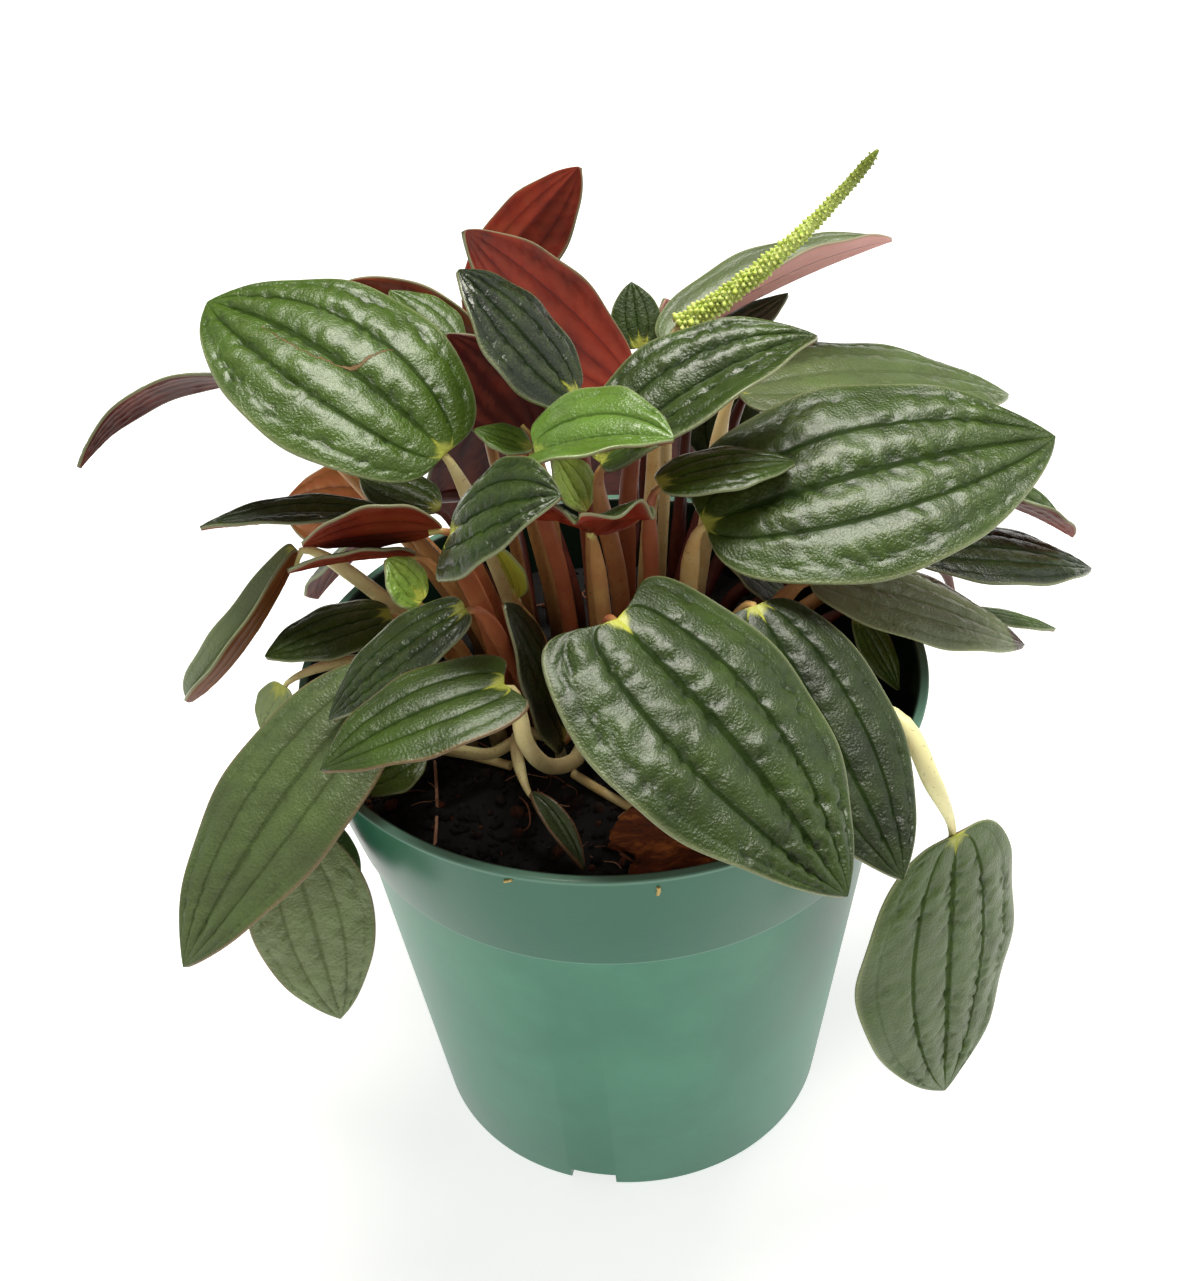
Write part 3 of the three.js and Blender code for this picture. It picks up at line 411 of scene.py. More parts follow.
# The blade's middle sheet, its normal and its flat size at places along (0 to 1) and across (-1 to 1)
def bladeSheet(row, line, along, across, seed):
    shape = leafOutlines[row["outline"]]
    belly, taper, place = shape["belly"], shape["taper"], blade["lobePlace"]
    peak = belly / (belly + taper)
    widest = peak ** belly * (1 - peak) ** taper
    reach, hand = np.abs(across), np.sign(across)
    sideways = row["width"] / 2 * (along ** belly * (1 - along) ** taper) / widest * reach
    lobeReach = shape["lobe"] * (along / place) * np.exp(1 - along / place)
    fold = math.radians(row["fold"])
    bend = math.radians(row["curl"] or 0.01) * 2 / row["width"]
    angle = fold - bend * sideways
    out = (math.sin(fold) - np.sin(angle)) / bend
    lift = (np.cos(angle) - math.cos(fold)) / bend
    point, tangent, up, side = midribAt(row, line, line["length"] * (along - lobeReach * reach))
    face = up * np.cos(angle)[..., None] - side * (hand * np.sin(angle))[..., None]
    swing = np.sin(along * blade["rippleTurns"] + hand * blade["rippleOffset"])
    wave = np.sin(along * blade["edgeTurns"] + hand * 2.1 + seed * 1.7)
    soft = blade["edgeWave"] * row["width"] / 30 * wave
    fade = np.clip(5 * along, 0, 1) * np.clip(5 * (1 - along), 0, 1)
    ripple = row.get("wave", 0) * reach ** 2 * swing + soft * reach ** 3 * fade
    point = point + side * (hand * out)[..., None] + up * (lift + ripple)[..., None]
    return point, face, hand * sideways, line["length"] * (along - lobeReach * reach)


def stalkLine(row, seat):
    line = midribFrame(row)
    point, tangent, up, side = midribAt(row, line, 0.0)
    end, endTangent, endUp, endSide = midribAt(row, line, stalk["sunkAhead"])
    collar = np.array([*seat, ground["top"] + ground["collar"]])
    points = [np.array([*seat, ground["holeFloor"] + ground["gap"]]), collar]
    if "via" in row:
        points += row["via"]
    else:
        lean = np.array([point[0] - seat[0], point[1] - seat[1], 0])
        points.append((collar + point) / 2 - lean * stalk["lag"])
    points.append(point - up * stalk["meetsBelow"] - tangent * stalk["meetsBehind"])
    points.append(end - endUp * stalk["sunkBelow"])
    return centripetal(points, stalk["points"])


# The stalks' places in the soil, pushed apart from each other
def stalkSeats(rows):
    centre = np.array(crown["centre"], float)
    seats = []
    for row in rows:
        if "seat" in row:
            seats.append(np.array(row["seat"], float) - centre)
            continue
        seat = (np.array(row["base"][:2], float) - centre) * crown["spread"]
        reach = math.hypot(seat[0] / crown["width"], seat[1] / crown["depth"])
        seats.append(seat / max(reach, 1))
    for turn in range(crown["rounds"]):
        for i in range(len(seats)):
            for j in range(i + 1, len(seats)):
                apart = seats[j] - seats[i]
                distance = max(np.linalg.norm(apart), 0.01)
                if distance < crown["spacing"]:
                    push = apart * 0.5 * (crown["spacing"] - distance) / distance
                    seats[j] = seats[j] + push
                    seats[i] = seats[i] - push
    return [seat + centre for seat in seats]


# Glossy, leathery leaf: dark green veins deepened with painted shade, painted shade in the hollows of
# the relief, and a painted grey sheen where the strips swell
def makeUpperSkin():
    material, add = newMaterial("glossyPuckeredLeaf")
    bulge, margin, vein, frost, starlit, edge, along, isTorn = (
        add("Attribute", out="Fac", attribute_name=name)
        for name in ("bulge", "margin", "vein", "frost", "starlit", "edge", "along", "torn"))
    look, place = (add("Attribute", out="Vector", attribute_name=name) for name in ("look", "place"))
    age, bloom, shine = add("SeparateXYZ", look).node.outputs
    # patches 9 mm wide and specks of 0.6 mm; place is in millimetres, so a scale is 1 / size
    patches = add("TexNoise", {0: place, "Scale": 0.11, "Detail": 4.0, "Roughness": 0.6})
    mottle = add("Math SUBTRACT", patches, 0.5)
    fine = add("TexNoise", {0: place, "Scale": 1.6})
    green = add("ValToRGB", add("Math MULTIPLY_ADD", mottle, 0.5, age), stops=(
        (0.0, "#8aa03c"), (0.22, "#638630"), (0.5, "#445e18"), (0.78, "#2e4010"), (1.0, "#16210a")))
    # painted shade: the low parts of the relief, grooves and creases, are darkened
    groove = add("MapRange SMOOTHSTEP", bulge, 0.3, 0.0)
    # the vein lines are darker, partly their own green and partly painted shade
    sunk = add("MapRange SMOOTHSTEP", vein, 0.15, 0.75)
    # painted sheen: the crests of the strips get a grey-green tint, as if they caught the light
    sheenOnCrests = add("Math MULTIPLY", add("MapRange SMOOTHSTEP", bulge, 0.35, 0.9),
                add("Math MULTIPLY", bloom, 0.5))
    sheenTint = add("Mix RGBA", {0: age, 6: toLinear("#8fa564"), 7: toLinear("#667544")}, out=2)
    # yellow star where the stalk joins, with rays along the veins
    away = add("VectorMath LENGTH", add("VectorMath MULTIPLY", place, (1.0, 1.0, 0.0)), out="Value")
    star = add("MapRange SMOOTHSTEP", add("Math MULTIPLY_ADD", vein, -1.5, away), 2.4, 1.0)
    rim = add("Mix RGBA", {0: edge, 6: toLinear("#a3b083"), 7: toLinear("#8f5a48")}, out=2)
    scar = makeScarMask(add, place)
    torn = add("MapRange SMOOTHSTEP", add("Math MULTIPLY_ADD", mottle, 0.1, along), 0.9, 0.94)
    dull = add("Math MAXIMUM", sunk, scar)
    rough = add("Math MULTIPLY_ADD", shine, -0.27, 0.52)
    rough = add("Math MULTIPLY_ADD", add("Math SUBTRACT", fine, 0.5), 0.2, rough)
    coat = add("Math MULTIPLY", shine, add("Math MULTIPLY_ADD", dull, -0.48, 0.5))
    # real skin cells of 0.05 mm are too fine to show, so they are drawn 0.4 mm wide on a 0.6 mm grain
    cells = add("TexVoronoi SMOOTH_F1", {0: place, "Scale": 2.6})
    grain = add("TexNoise", {0: place, "Scale": 1.7, "Detail": 3.0, "Roughness": 0.6})
    return finishMaterial(material, green, [
        # the first two layers are painted shade, and the fourth is a painted sheen on the crests
        (groove, 0.4, "#15200f"), (sunk, 0.42, "#15240c"), (frost, 1.0, "#98a37c"),
        (sheenOnCrests, add("MapRange SMOOTHSTEP", fine, 0.25, 0.75), sheenTint), (star, starlit, "#c3c655"),
        (margin, 0.5, rim), (scar, 1.0, "#3a2815"),
        (add("MapRange SMOOTHSTEP", scar, 0.75, 1.0), 1.0, "#7c6446"), (torn, isTorn, "#3a2416"),
    ], {
        "Roughness": add("Math MULTIPLY_ADD", dull, 0.25, rough), "IOR": 1.42,
        "Specular IOR Level": add("Math MULTIPLY_ADD", dull, -0.42, 0.5), "Coat Weight": coat,
        "Coat Roughness": 0.24, "Subsurface Weight": 0.05, "Subsurface Radius": (0.5, 1.0, 0.15),
        "Subsurface Scale": 0.001,
    }, (add("Math MULTIPLY_ADD", cells, -0.7, grain), 0.45, 0.4))


# How much of the scar lies at a place of the blade: short straight pieces, each with its width
def makeScarMask(add, place):
    flat = add("CombineXYZ", *add("SeparateXYZ", place).node.outputs[:2])
    shaky = add("TexNoise", {0: flat, "Scale": 0.9, "Detail": 3.0})  # bends 1.1 mm long
    wander = add("Math MULTIPLY", add("Math SUBTRACT", shaky, 0.5), 0.9)
    total = 0.0
    for (x0, y0, w0), (x1, y1, w1) in zip(scarLine, scarLine[1:]):
        length = math.hypot(x1 - x0, y1 - y0)
        ahead = ((x1 - x0) / length, (y1 - y0) / length, 0.0)
        away = add("VectorMath SUBTRACT", flat, (x0, y0, 0.0))
        run, off = (add("VectorMath DOT_PRODUCT", away, way, out="Value")
                    for way in (ahead, (-ahead[1], ahead[0], 0.0)))
        beyond = add("Math MAXIMUM", add("Math MULTIPLY", run, -1.0), add("Math SUBTRACT", run, length))
        off = add("Math ADD", add("Math ABSOLUTE", add("Math ADD", off, wander)),
                  add("Math MAXIMUM", beyond, 0.0))
        near = add("MapRange SMOOTHSTEP", off, (w0 + w1) * 0.45, (w0 + w1) * 0.1)
        total = add("Math MAXIMUM", total, near)
    return add("Math MULTIPLY", total, add("Attribute", out="Fac", attribute_name="scar"))


# Satin underside, from leaf green through brick to wine red, with darker ribs and a painted lighter sheen
# where it swells
def makeUnderSkin():
    material, add = newMaterial("satinWineUnderside")
    red, pale, vein, bulge, margin = (add("Attribute", out="Fac", attribute_name=name)
                                      for name in ("red", "pale", "vein", "bulge", "margin"))
    look, place = (add("Attribute", out="Vector", attribute_name=name) for name in ("look", "place"))
    # patches 8 mm wide, and skin drawn with grains of 0.8 mm, as its cells are too fine to show
    mottle = add("Math SUBTRACT", add("TexNoise", {0: place, "Scale": 0.12, "Detail": 3.0}), 0.5)
    colour = add("ValToRGB", add("Math MULTIPLY_ADD", mottle, 0.45, red), stops=(
        (0.0, "#a6b23c"), (0.3, "#7a5026"), (0.5, "#6e3a18"), (0.75, "#74200f"), (1.0, "#3a0a08")))
    shine = add("SeparateXYZ", look, out=2)
    return finishMaterial(material, colour, [
        (add("MapRange SMOOTHSTEP", mottle, 0.0, 0.22), add("Math MULTIPLY", red, 0.6), "#42160c"),
        (pale, 1.0, "#f4b8b4"), (add("MapRange SMOOTHSTEP", vein, 0.15, 0.9), 0.5, "#3a0e0a"),
        # painted sheen: the swelling parts get a lighter brick tint, as if they caught the light
        (add("MapRange SMOOTHSTEP", bulge, 0.3, 0.9), 0.15, "#b0583e"), (margin, 0.6, "#8d9a78"),
    ], {
        "Roughness": add("Math MULTIPLY_ADD", shine, -0.5, 0.78), "IOR": 1.42,
        "Specular IOR Level": 0.25, "Subsurface Weight": 0.06, "Subsurface Radius": (1.0, 0.3, 0.2),
        "Subsurface Scale": 0.0012,
    }, (add("TexNoise", {0: place, "Scale": 1.2, "Detail": 3.0}), 0.12, 0.5))


# Fleshy stalk: pale or brick red, yellower towards the blade, with painted shade darkening it towards the
# soil
def makeStalkSkin():
    material, add = newMaterial("fleshyLeafStalk")
    blush, share = (add("Attribute", out="Fac", attribute_name=name) for name in ("blush", "share"))
    coords = add("TexCoord", out="Object")
    # blotches 3.8 mm and flecks 0.7 mm wide, on skin drawn with grains of 1.1 mm, coarser than
    # its cells, so that they show; object coordinates are metres, so a scale is 1000 / size
    streaks = add("Math SUBTRACT", add("TexNoise", {0: coords, "Scale": 260.0, "Detail": 3.0}), 0.5)
    tone = add("Math MULTIPLY", add("Math ADD", blush, add("Math MULTIPLY", streaks, 0.3)), 0.667)
    colour = add("ValToRGB", tone, stops=((0.0, "#ece6ac"), (0.23, "#c8a264"), (0.46, "#a05c3a"),
                                          (0.66, "#803c28"), (1.0, "#3a1210")))
    flecks = add("TexNoise", {0: coords, "Scale": 1500.0, "Roughness": 0.7})
    paler = add("MapRange SMOOTHSTEP", blush, 1.3, 0.6)
    return finishMaterial(material, colour, [
        (add("MapRange SMOOTHSTEP", flecks, 0.62, 0.72), 0.5, "#6b2416"),
        (add("MapRange SMOOTHSTEP", share, 0.93, 1.0), paler, "#c3bd6e"),
        # painted shade: the stalk's lower part, deep in the crown, is darkened towards the soil
        (add("MapRange SMOOTHSTEP", share, 0.42, 0.0), 1.0, "#2e170e"),
    ], {
        "Roughness": 0.38, "IOR": 1.42, "Subsurface Weight": 0.1, "Subsurface Radius": (1.0, 0.5, 0.2),
        "Subsurface Scale": 0.0015,
    }, (add("TexNoise", {0: coords, "Scale": 900.0}), 0.08, 0.5))


# Leaf: furrows and puckers on the sheet, and the stalk as a tube along its line
def makeLeafRule():
    tree, add, given = makeTree("leafRule", {
        "Blade thickness": 0.9, "Margin thickness": 0.5, "Furrow depth": 0.55, "Furrow share": 0.6,
        "Strips": 3.0, "Strip power": 1.12, "Vein width": 0.1, "Pucker height": 0.3,
        "Pucker spacing": 4.0, "Stalk sides": 12, "Seed": 1.0})
    across, along, side, stalkPart = (add("GeometryNodeInputNamedAttribute FLOAT", name)
                                      for name in ("across", "along", "side", "stalkPart"))
    face, place = (add("GeometryNodeInputNamedAttribute FLOAT_VECTOR", name) for name in ("face", "place"))
    isStalk = add("Math GREATER_THAN", stalkPart, 0.5)
    lines, sheet = add("GeometryNodeSeparateGeometry POINT", given["Geometry"], isStalk).node.outputs
    reach = add("Math ABSOLUTE", across)
    lane = add("Math MULTIPLY", add("Math POWER", reach, given["Strip power"]), given["Strips"])
    apart = add("Math PINGPONG", lane, 0.5)
    # each strip is a low pillow between two sunken veins, and the outer strips are flatter
    pillow = add("Math MULTIPLY_ADD", add("MapRange SMOOTHSTEP", apart, 0.0, 0.4), 0.6, -0.35)
    sharp = add("Math DIVIDE", apart, given["Vein width"])
    groove = add("Math EXPONENT", add("Math MULTIPLY", add("Math MULTIPLY", sharp, sharp), -1.0))
    fade = add("Math MULTIPLY", add("MapRange SMOOTHSTEP", along, 0.0, 0.16),
               add("MapRange SMOOTHSTEP", along, 1.0, 0.85))
    weaker = add("MapRange SMOOTHSTEP", reach, 1.25, 0.25)
    deep = add("Math MULTIPLY", given["Furrow depth"], given["Furrow share"])
    depth = add("Math MULTIPLY", deep, add("Math MULTIPLY", fade, weaker))
    furrow = add("Math MULTIPLY", add("Math MULTIPLY_ADD", groove, -0.45, pillow), depth)
    # creases that start at a vein and run outwards, fading in the middle of the strip
    x, y = add("SeparateXYZ", place).node.outputs[:2]
    strip = add("Math FLOOR", add("Math MULTIPLY_ADD", across, given["Strips"], 40.0))
    slant = add("Math MULTIPLY_ADD", add("Math ABSOLUTE", x), -0.75, y)
    spot = add("CombineXYZ", add("Math MULTIPLY", y, 0.15), add("Math MULTIPLY", strip, 3.7), given["Seed"])
    drift = add("TexNoise", {0: spot, "Scale": 1.0, "Detail": 3.0, "Roughness": 0.65})
    phase = add("Math MULTIPLY_ADD", drift, 4.0, add("Math DIVIDE", slant, given["Pucker spacing"]))
    swing = add("Math COSINE", add("Math MULTIPLY", phase, fullTurn))
    crease = add("Math POWER", add("Math MULTIPLY_ADD", swing, 0.5, 0.5), 3.5)
    spot = add("CombineXYZ", add("Math MULTIPLY", x, 0.14), add("Math MULTIPLY", y, 0.1), given["Seed"])
    uneven = add("TexNoise", {0: spot, "Scale": 1.0})
    strength = add("Math MULTIPLY", add("MapRange SMOOTHSTEP", uneven, 0.34, 0.58),
                   add("MapRange SMOOTHSTEP", apart, 0.55, 0.12))
    crease = add("Math MULTIPLY", add("Math MULTIPLY", crease, strength),
                 add("MapRange SMOOTHSTEP", apart, -0.04, 0.06))
    lumps = add("TexNoise", {0: add("VectorMath MULTIPLY", place, (0.3, 0.3, 1.0)), "Scale": 1.0})
    swell = add("Math MULTIPLY_ADD", add("Math SUBTRACT", uneven, 0.5), 1.2,
                add("Math SUBTRACT", lumps, 0.5))
    swell = add("Math MULTIPLY", swell, add("MapRange SMOOTHSTEP", apart, -0.1, 0.3))
    pucker = add("Math SUBTRACT", add("Math MULTIPLY", swell, 1.5), crease)
    pucker = add("Math MULTIPLY", add("Math MULTIPLY", pucker, given["Pucker height"]),
                 add("Math MULTIPLY", fade, add("MapRange SMOOTHSTEP", reach, 1.0, 0.8)))
    relief = add("Math ADD", furrow, pucker)
    # both faces stand off the middle sheet, less at the margin, and the underside is smoother
    thick = add("Mix FLOAT", {0: add("MapRange SMOOTHSTEP", reach, 0.86, 1.0),
                              2: given["Blade thickness"], 3: given["Margin thickness"]})
    stand = add("Math MULTIPLY", add("Math MULTIPLY", side, thick), 0.5)
    softer = add("Math MULTIPLY", relief, add("Math MULTIPLY_ADD", side, 0.25, 0.75))
    height = add("Math MULTIPLY", add("Math ADD", softer, stand), mm)
    bulge = add("MapRange SMOOTHSTEP", add("Math DIVIDE", relief, given["Furrow depth"]), -0.8, 0.6)
    for name, value in (("bulge", bulge), ("vein", add("Math MULTIPLY", groove, weaker))):
        sheet = add("GeometryNodeStoreNamedAttribute FLOAT",
                    {"Geometry": sheet, "Name": name, "Value": value}, domain="POINT")
    offset = add("VectorMath SCALE", {0: face, "Scale": height})
    sheet = add("GeometryNodeSetPosition", {"Geometry": sheet, "Offset": offset})
    tube = sweep(add, lines, "stalkRadius", given["Stalk sides"])
    return endTree(tree, add("GeometryNodeJoinGeometry", {0: [sheet, tube]}), [
        (upperSkin,), (underSkin, add("Math LESS_THAN", side, -0.01)), (stalkSkin, isStalk)])


# The blade's faces: both sides of a grid that ends in a point at base and tip, and a rounded rim
def bladeFaces(rows, wide):
    last = (rows - 1) * wide + 1
    count = last + 1
    grid = np.arange(1, last).reshape(rows - 1, wide).tolist()
    faces = []
    for j in range(wide - 1):
        faces.append((0, grid[0][j + 1], grid[0][j]))
        faces.append((last, grid[-1][j], grid[-1][j + 1]))
        for near, far in zip(grid, grid[1:]):
            faces.append((near[j], near[j + 1], far[j + 1], far[j]))
    faces += [tuple(count + v for v in reversed(f)) for f in faces]
    edge, inner = ([0] + [line[-1 - step] for line in grid] + [last] + [line[step] for line in grid[::-1]]
                   for step in (0, 1))
    for k, a in enumerate(edge):
        after = (k + 1) % len(edge)
        b, ra, rb = edge[after], 2 * count + k, 2 * count + after
        faces += [(a, ra, rb, b), (ra, count + a, count + b, rb)]
    return faces, edge, inner


def buildLeaf(row, seat, index):
    size, look = leafSizes[row["size"]], dict(usualLook, **row)
    rows, strips, relief = size["rows"], blade["strips"], size["relief"]
    # columns lie closer beside the veins and at the margin
    lanes = [strip + step for strip in range(math.ceil(strips)) for step in size["steps"]]
    lanes = np.array([lane for lane in lanes if lane < strips - 0.08]
                     + [strips - gap for gap in blade["lastGaps"]])
    halfRow = (lanes / strips) ** (1 / blade["stripPower"])
    acrossRow = np.concatenate([-halfRow[:0:-1], halfRow])
    places = [(0.0, 0.0)]
    for i in range(1, rows):
        along = i / rows - blade["evenRows"] * math.sin(i / rows * fullTurn) / fullTurn
        places += [(along, across) for across in acrossRow]
    along, across = np.array(places + [(1.0, 0.0)]).T
    count = len(along)
    point, face, flatX, flatY = bladeSheet(row, midribFrame(row), along, across, index)
    faces, edge, inner = bladeFaces(rows, len(acrossRow))
    # the rim's middle ring stands a little outwards, which rounds the edge
    outward = point[edge] - point[inner]
    length = np.linalg.norm(outward, axis=1, keepdims=True)
    ring = point[edge] + outward / np.maximum(length, 1e-6) * blade["rimRound"]
    path = stalkLine(row, seat)
    steps, first = len(path), 2 * count + len(edge)
    share = np.linspace(0, 1, steps)
    taper = 1 + (stalk["footSwell"] - 1) * np.clip(1 - share * stalk["footRun"], 0, 1)
    narrow = np.clip((share - stalk["taperFrom"]) / stalk["taperRun"], 0, 1)
    taper = taper * (1 - (1 - stalk["endTaper"]) * narrow)
    margin = np.clip((np.abs(across) - blade["marginFrom"]) / (1 - blade["marginFrom"]), 0, 1)
    flat = np.stack([flatX, flatY, np.full(count, index * blade["patternStep"])], 1)
    marks = {name: np.concatenate([v, v, v[edge], np.zeros((steps,) + v.shape[1:])]) for name, v in (
        ("along", along), ("across", across), ("margin", margin), ("face", face), ("place", flat))}
    marks["side"] = np.repeat([1, -1, 0, 0], [count, count, len(edge), steps])
    marks["look"] = np.tile([look["age"], look["bloom"], look["shine"]], (first + steps, 1))
    marks.update({name: look[name] for name in ("red", "pale", "edge", "torn", "frost", "scar", "blush")},
                 starlit=look["star"])
    for name, values in (("stalkPart", np.ones(steps)), ("share", share),
                         ("stalkRadius", size["stalk"] * taper)):
        marks[name] = np.concatenate([np.zeros(first), values])
    edges = [(first + k, first + k + 1) for k in range(steps - 1)]
    thing = newObject(row["name"], np.concatenate([point, point, ring, path]), edges, faces, marks)
    applyTree(thing, leafRule, {
        "Blade thickness": blade["bladeThickness"], "Margin thickness": blade["marginThickness"],
        "Furrow depth": blade["furrowDepth"] * relief, "Furrow share": look["furrow"],
        "Strips": float(strips), "Strip power": blade["stripPower"], "Vein width": blade["veinWidth"],
        "Pucker height": blade["puckerHeight"] * relief * look["pucker"],
        "Pucker spacing": blade["puckerSpacing"] * relief, "Stalk sides": stalk["sides"],
        "Seed": index * blade["seedStep"]})
    finishPiece(thing, look["slot"], "leaf_" + row["name"])


spike = {
    "name": "flower_spike", "size": "small", "base": (14, 24, 145), "tip": (47, 30, 172),
    "arch": -24, "footRadius": 1.7, "tipRadius": 0.8, "steps": 120, "sides": 24, "endGap": 0.01,
    "rings": 48, "around": 10, "floretSize": 0.62, "lastFloret": 0.97,
}


# Waxy flower spike: lime florets over darker olive pits, duller and darker towards the tip
def makeSpikeSkin(name, low, high, dull):
    material, add = newMaterial(name)
    # speckles of 0.9 mm, as wide as a floret
    speckle = add("TexNoise", {0: add("TexCoord", out="Object"), "Scale": 1100.0, "Detail": 3.0})
    share = add("Attribute", out="Fac", attribute_name="share")
    return finishMaterial(material, toLinear(low), [
        (add("MapRange SMOOTHSTEP", speckle, 0.35, 0.65), 1.0, high),
        (add("MapRange SMOOTHSTEP", share, 0.55, 1.0), 1.0, dull),
    ], {
        "Roughness": 0.5, "Subsurface Weight": 0.3, "Subsurface Radius": (0.6, 1.0, 0.2),
        "Subsurface Scale": 0.002,
    }, (speckle, 0.08, 0.5))


# Flower head: florets in slanting rows, each a small pointed mound, larger at the foot
def makeSpikeRule():
    tree, add, given = makeTree("spikeRule", {"Floret size": 0.5})
    floret, floretScale = (add("GeometryNodeInputNamedAttribute FLOAT", name)
                           for name in ("floret", "floretScale"))
    isFloret = add("Math GREATER_THAN", floret, 0.5)
    spots, body = add("GeometryNodeSeparateGeometry POINT", given["Geometry"], isFloret).node.outputs
    cone = add("GeometryNodeMeshCone", {"Vertices": 5, "Radius Top": 0.15, "Radius Bottom": 1.0,
                                        "Depth": 1.0})
    face = add("GeometryNodeInputNamedAttribute FLOAT_VECTOR", "face")
    scale = add("Math MULTIPLY", add("Math MULTIPLY", given["Floret size"], mm), floretScale)
    copies = add("GeometryNodeInstanceOnPoints", {
        "Points": add("GeometryNodeMeshToPoints", spots), "Instance": cone, "Scale": scale,
        "Rotation": add("FunctionNodeAlignRotationToVector Z", {"Vector": face})})
    return endTree(tree, add("GeometryNodeJoinGeometry", {0: [body, copies]}),
                   [(spikeSkin,), (floretSkin, isFloret)])


# Quads between rings of points that lie one after the other, closed at both ends
def ringFaces(rings, wide, clockwise=False):
    faces = []
    for i in range(rings - 1):
        for j in range(wide):
            a, b = i * wide + j, i * wide + (j + 1) % wide
            faces.append((a, a + wide, b + wide, b) if clockwise else (a, b, b + wide, a + wide))
    ends = tuple(range(wide))[::-1], tuple(range((rings - 1) * wide, rings * wide))
    return faces + [end[::-1] if clockwise else end for end in ends]


def buildSpike(seat):
    line = midribFrame(spike)
    steps, sides, gap = spike["steps"], spike["sides"], spike["endGap"]
    share = np.linspace(0, 1, steps + 1)
    centre, tangent, up, side = midribAt(spike, line, line["length"] * (gap + (1 - 2 * gap) * share))
    radius = spike["footRadius"] + (spike["tipRadius"] - spike["footRadius"]) * share
    radius = radius * np.sqrt(np.clip(np.minimum(share * 30, (1 - share) * 14) + 0.08, 0, 1))
    angles = np.arange(sides) / sides * fullTurn
    out = up[:, None] * np.cos(angles)[None, :, None] + side[:, None] * np.sin(angles)[None, :, None]
    points = (centre[:, None] + out * radius[:, None, None]).reshape(-1, 3)
    # florets in rings, each ring turned half a place from the one before
    random = np.random.default_rng(5)
    spots, normals, places, scales = [], [], [], []
    for ring in range(spike["rings"]):
        place = (ring + 0.5) / spike["rings"] * spike["lastFloret"]
        spot, ahead, over, aside = midribAt(spike, line, line["length"] * place)
        full = spike["footRadius"] + (spike["tipRadius"] - spike["footRadius"]) * place
        for j in range(spike["around"]):
            angle = (j + 0.5 * (ring % 2)) / spike["around"] * fullTurn
            normal = over * math.cos(angle) + aside * math.sin(angle)
            spots.append(spot + normal * full)
            normals.append(normal)
            places.append(place)
            scales.append((1.15 - 0.85 * place) * random.uniform(0.6, 1.3))
    blank = np.zeros(len(points))
    thing = newObject(spike["name"], np.concatenate([points, spots]), [], ringFaces(steps + 1, sides), {
        "floret": np.concatenate([blank, np.ones(len(spots))]),
        "share": np.concatenate([np.repeat(share, sides), places]),
        "floretScale": np.concatenate([blank, scales]),
        "face": np.concatenate([np.zeros((len(points), 3)), normals])})
    applyTree(thing, makeSpikeRule(), {"Floret size": spike["floretSize"]})
    finishPiece(thing, "spike", spike["name"])
    marks = {"share": np.linspace(0, 1, stalk["points"]) * 0.7, "blush": 0.2}
    tube = makeTube("flower_spike_stalk", [stalkLine(spike, seat)], [leafSizes["small"]["stalk"]],
                    stalkSkin, stalk["sides"], marks)
    finishPiece(tube, "spike")


pot = {
    "height": 94.3, "baseRadius": 36.9, "rimRadius": 54, "bandHeight": 24, "bandFootRadius": 47.8,
    "wallTopRadius": 46.5, "wall": 1.9, "floor": 2.2, "step": 0.9, "round": 0.8, "sides": 192,
    "notchWidth": 8.5, "notchHeight": 3, "notchDepth": 7, "notchAngle": -103, "notches": 4,
    "sharpAbove": 38,
}
bandFoot = pot["height"] - pot["bandHeight"]


# Satin injection-moulded polypropylene with the faint haze of handling
def makePotPlastic():
    material, add = newMaterial("satinGreenPolypropylene")
    coords = add("TexCoord", out="Object")
    height = add("SeparateXYZ", coords, out=2)
    # clouds of haze 22 mm wide; the mould's grain of 0.05 mm is drawn 0.7 mm wide, so that it shows
    cloud = add("TexNoise", {0: coords, "Scale": 45.0, "Detail": 4.0, "Roughness": 0.6})
    # painted highlights: lighter lines along the lip and along the step under the band
    band, lip, below, over, deep = (
        add("MapRange SMOOTHSTEP", height, low * mm, high * mm) for low, high in (
            (bandFoot - 0.4, bandFoot + 0.6), (pot["height"] - 1.0, pot["height"] - 0.3),
            (bandFoot - 0.9, bandFoot - 0.3), (bandFoot + 0.5, bandFoot), (bandFoot + 1.0, bandFoot + 3.0)))
    ledge = add("Math MULTIPLY", below, over)
    # painted shade: the inside of the band is darkened nearly to black
    radius = add("VectorMath LENGTH", add("VectorMath MULTIPLY", coords, (1.0, 1.0, 0.0)), out="Value")
    slope = (pot["rimRadius"] - pot["bandFootRadius"]) / pot["bandHeight"]
    above = add("Math SUBTRACT", height, bandFoot * mm)
    outer = add("Math MULTIPLY_ADD", above, slope, pot["bandFootRadius"] * mm)
    depth = add("Math SUBTRACT", outer, radius)
    innerShade = add("Math MULTIPLY", add("MapRange SMOOTHSTEP", depth, 1.3 * mm, 1.8 * mm), deep)
    haze = add("Math MULTIPLY_ADD", band, -0.05, 0.29)
    # painted shade darkens the band and its inside, and painted highlights lighten the lip and the step
    return finishMaterial(material, toLinear("#3b7860"), [
        (add("MapRange SMOOTHSTEP", cloud, 0.3, 0.75), 1.0, "#46866c"), (band, 0.75, "#0e523c"),
        (add("Math MAXIMUM", lip, ledge), 0.5, "#7fa392"), (innerShade, 0.95, "#0b1b13"),
    ], {
        "Roughness": add("Math MULTIPLY_ADD", cloud, 0.14, haze), "IOR": 1.49, "Specular IOR Level": 0.38,
    }, (add("TexNoise", {0: coords, "Scale": 1400.0}), 0.05, 0.35))


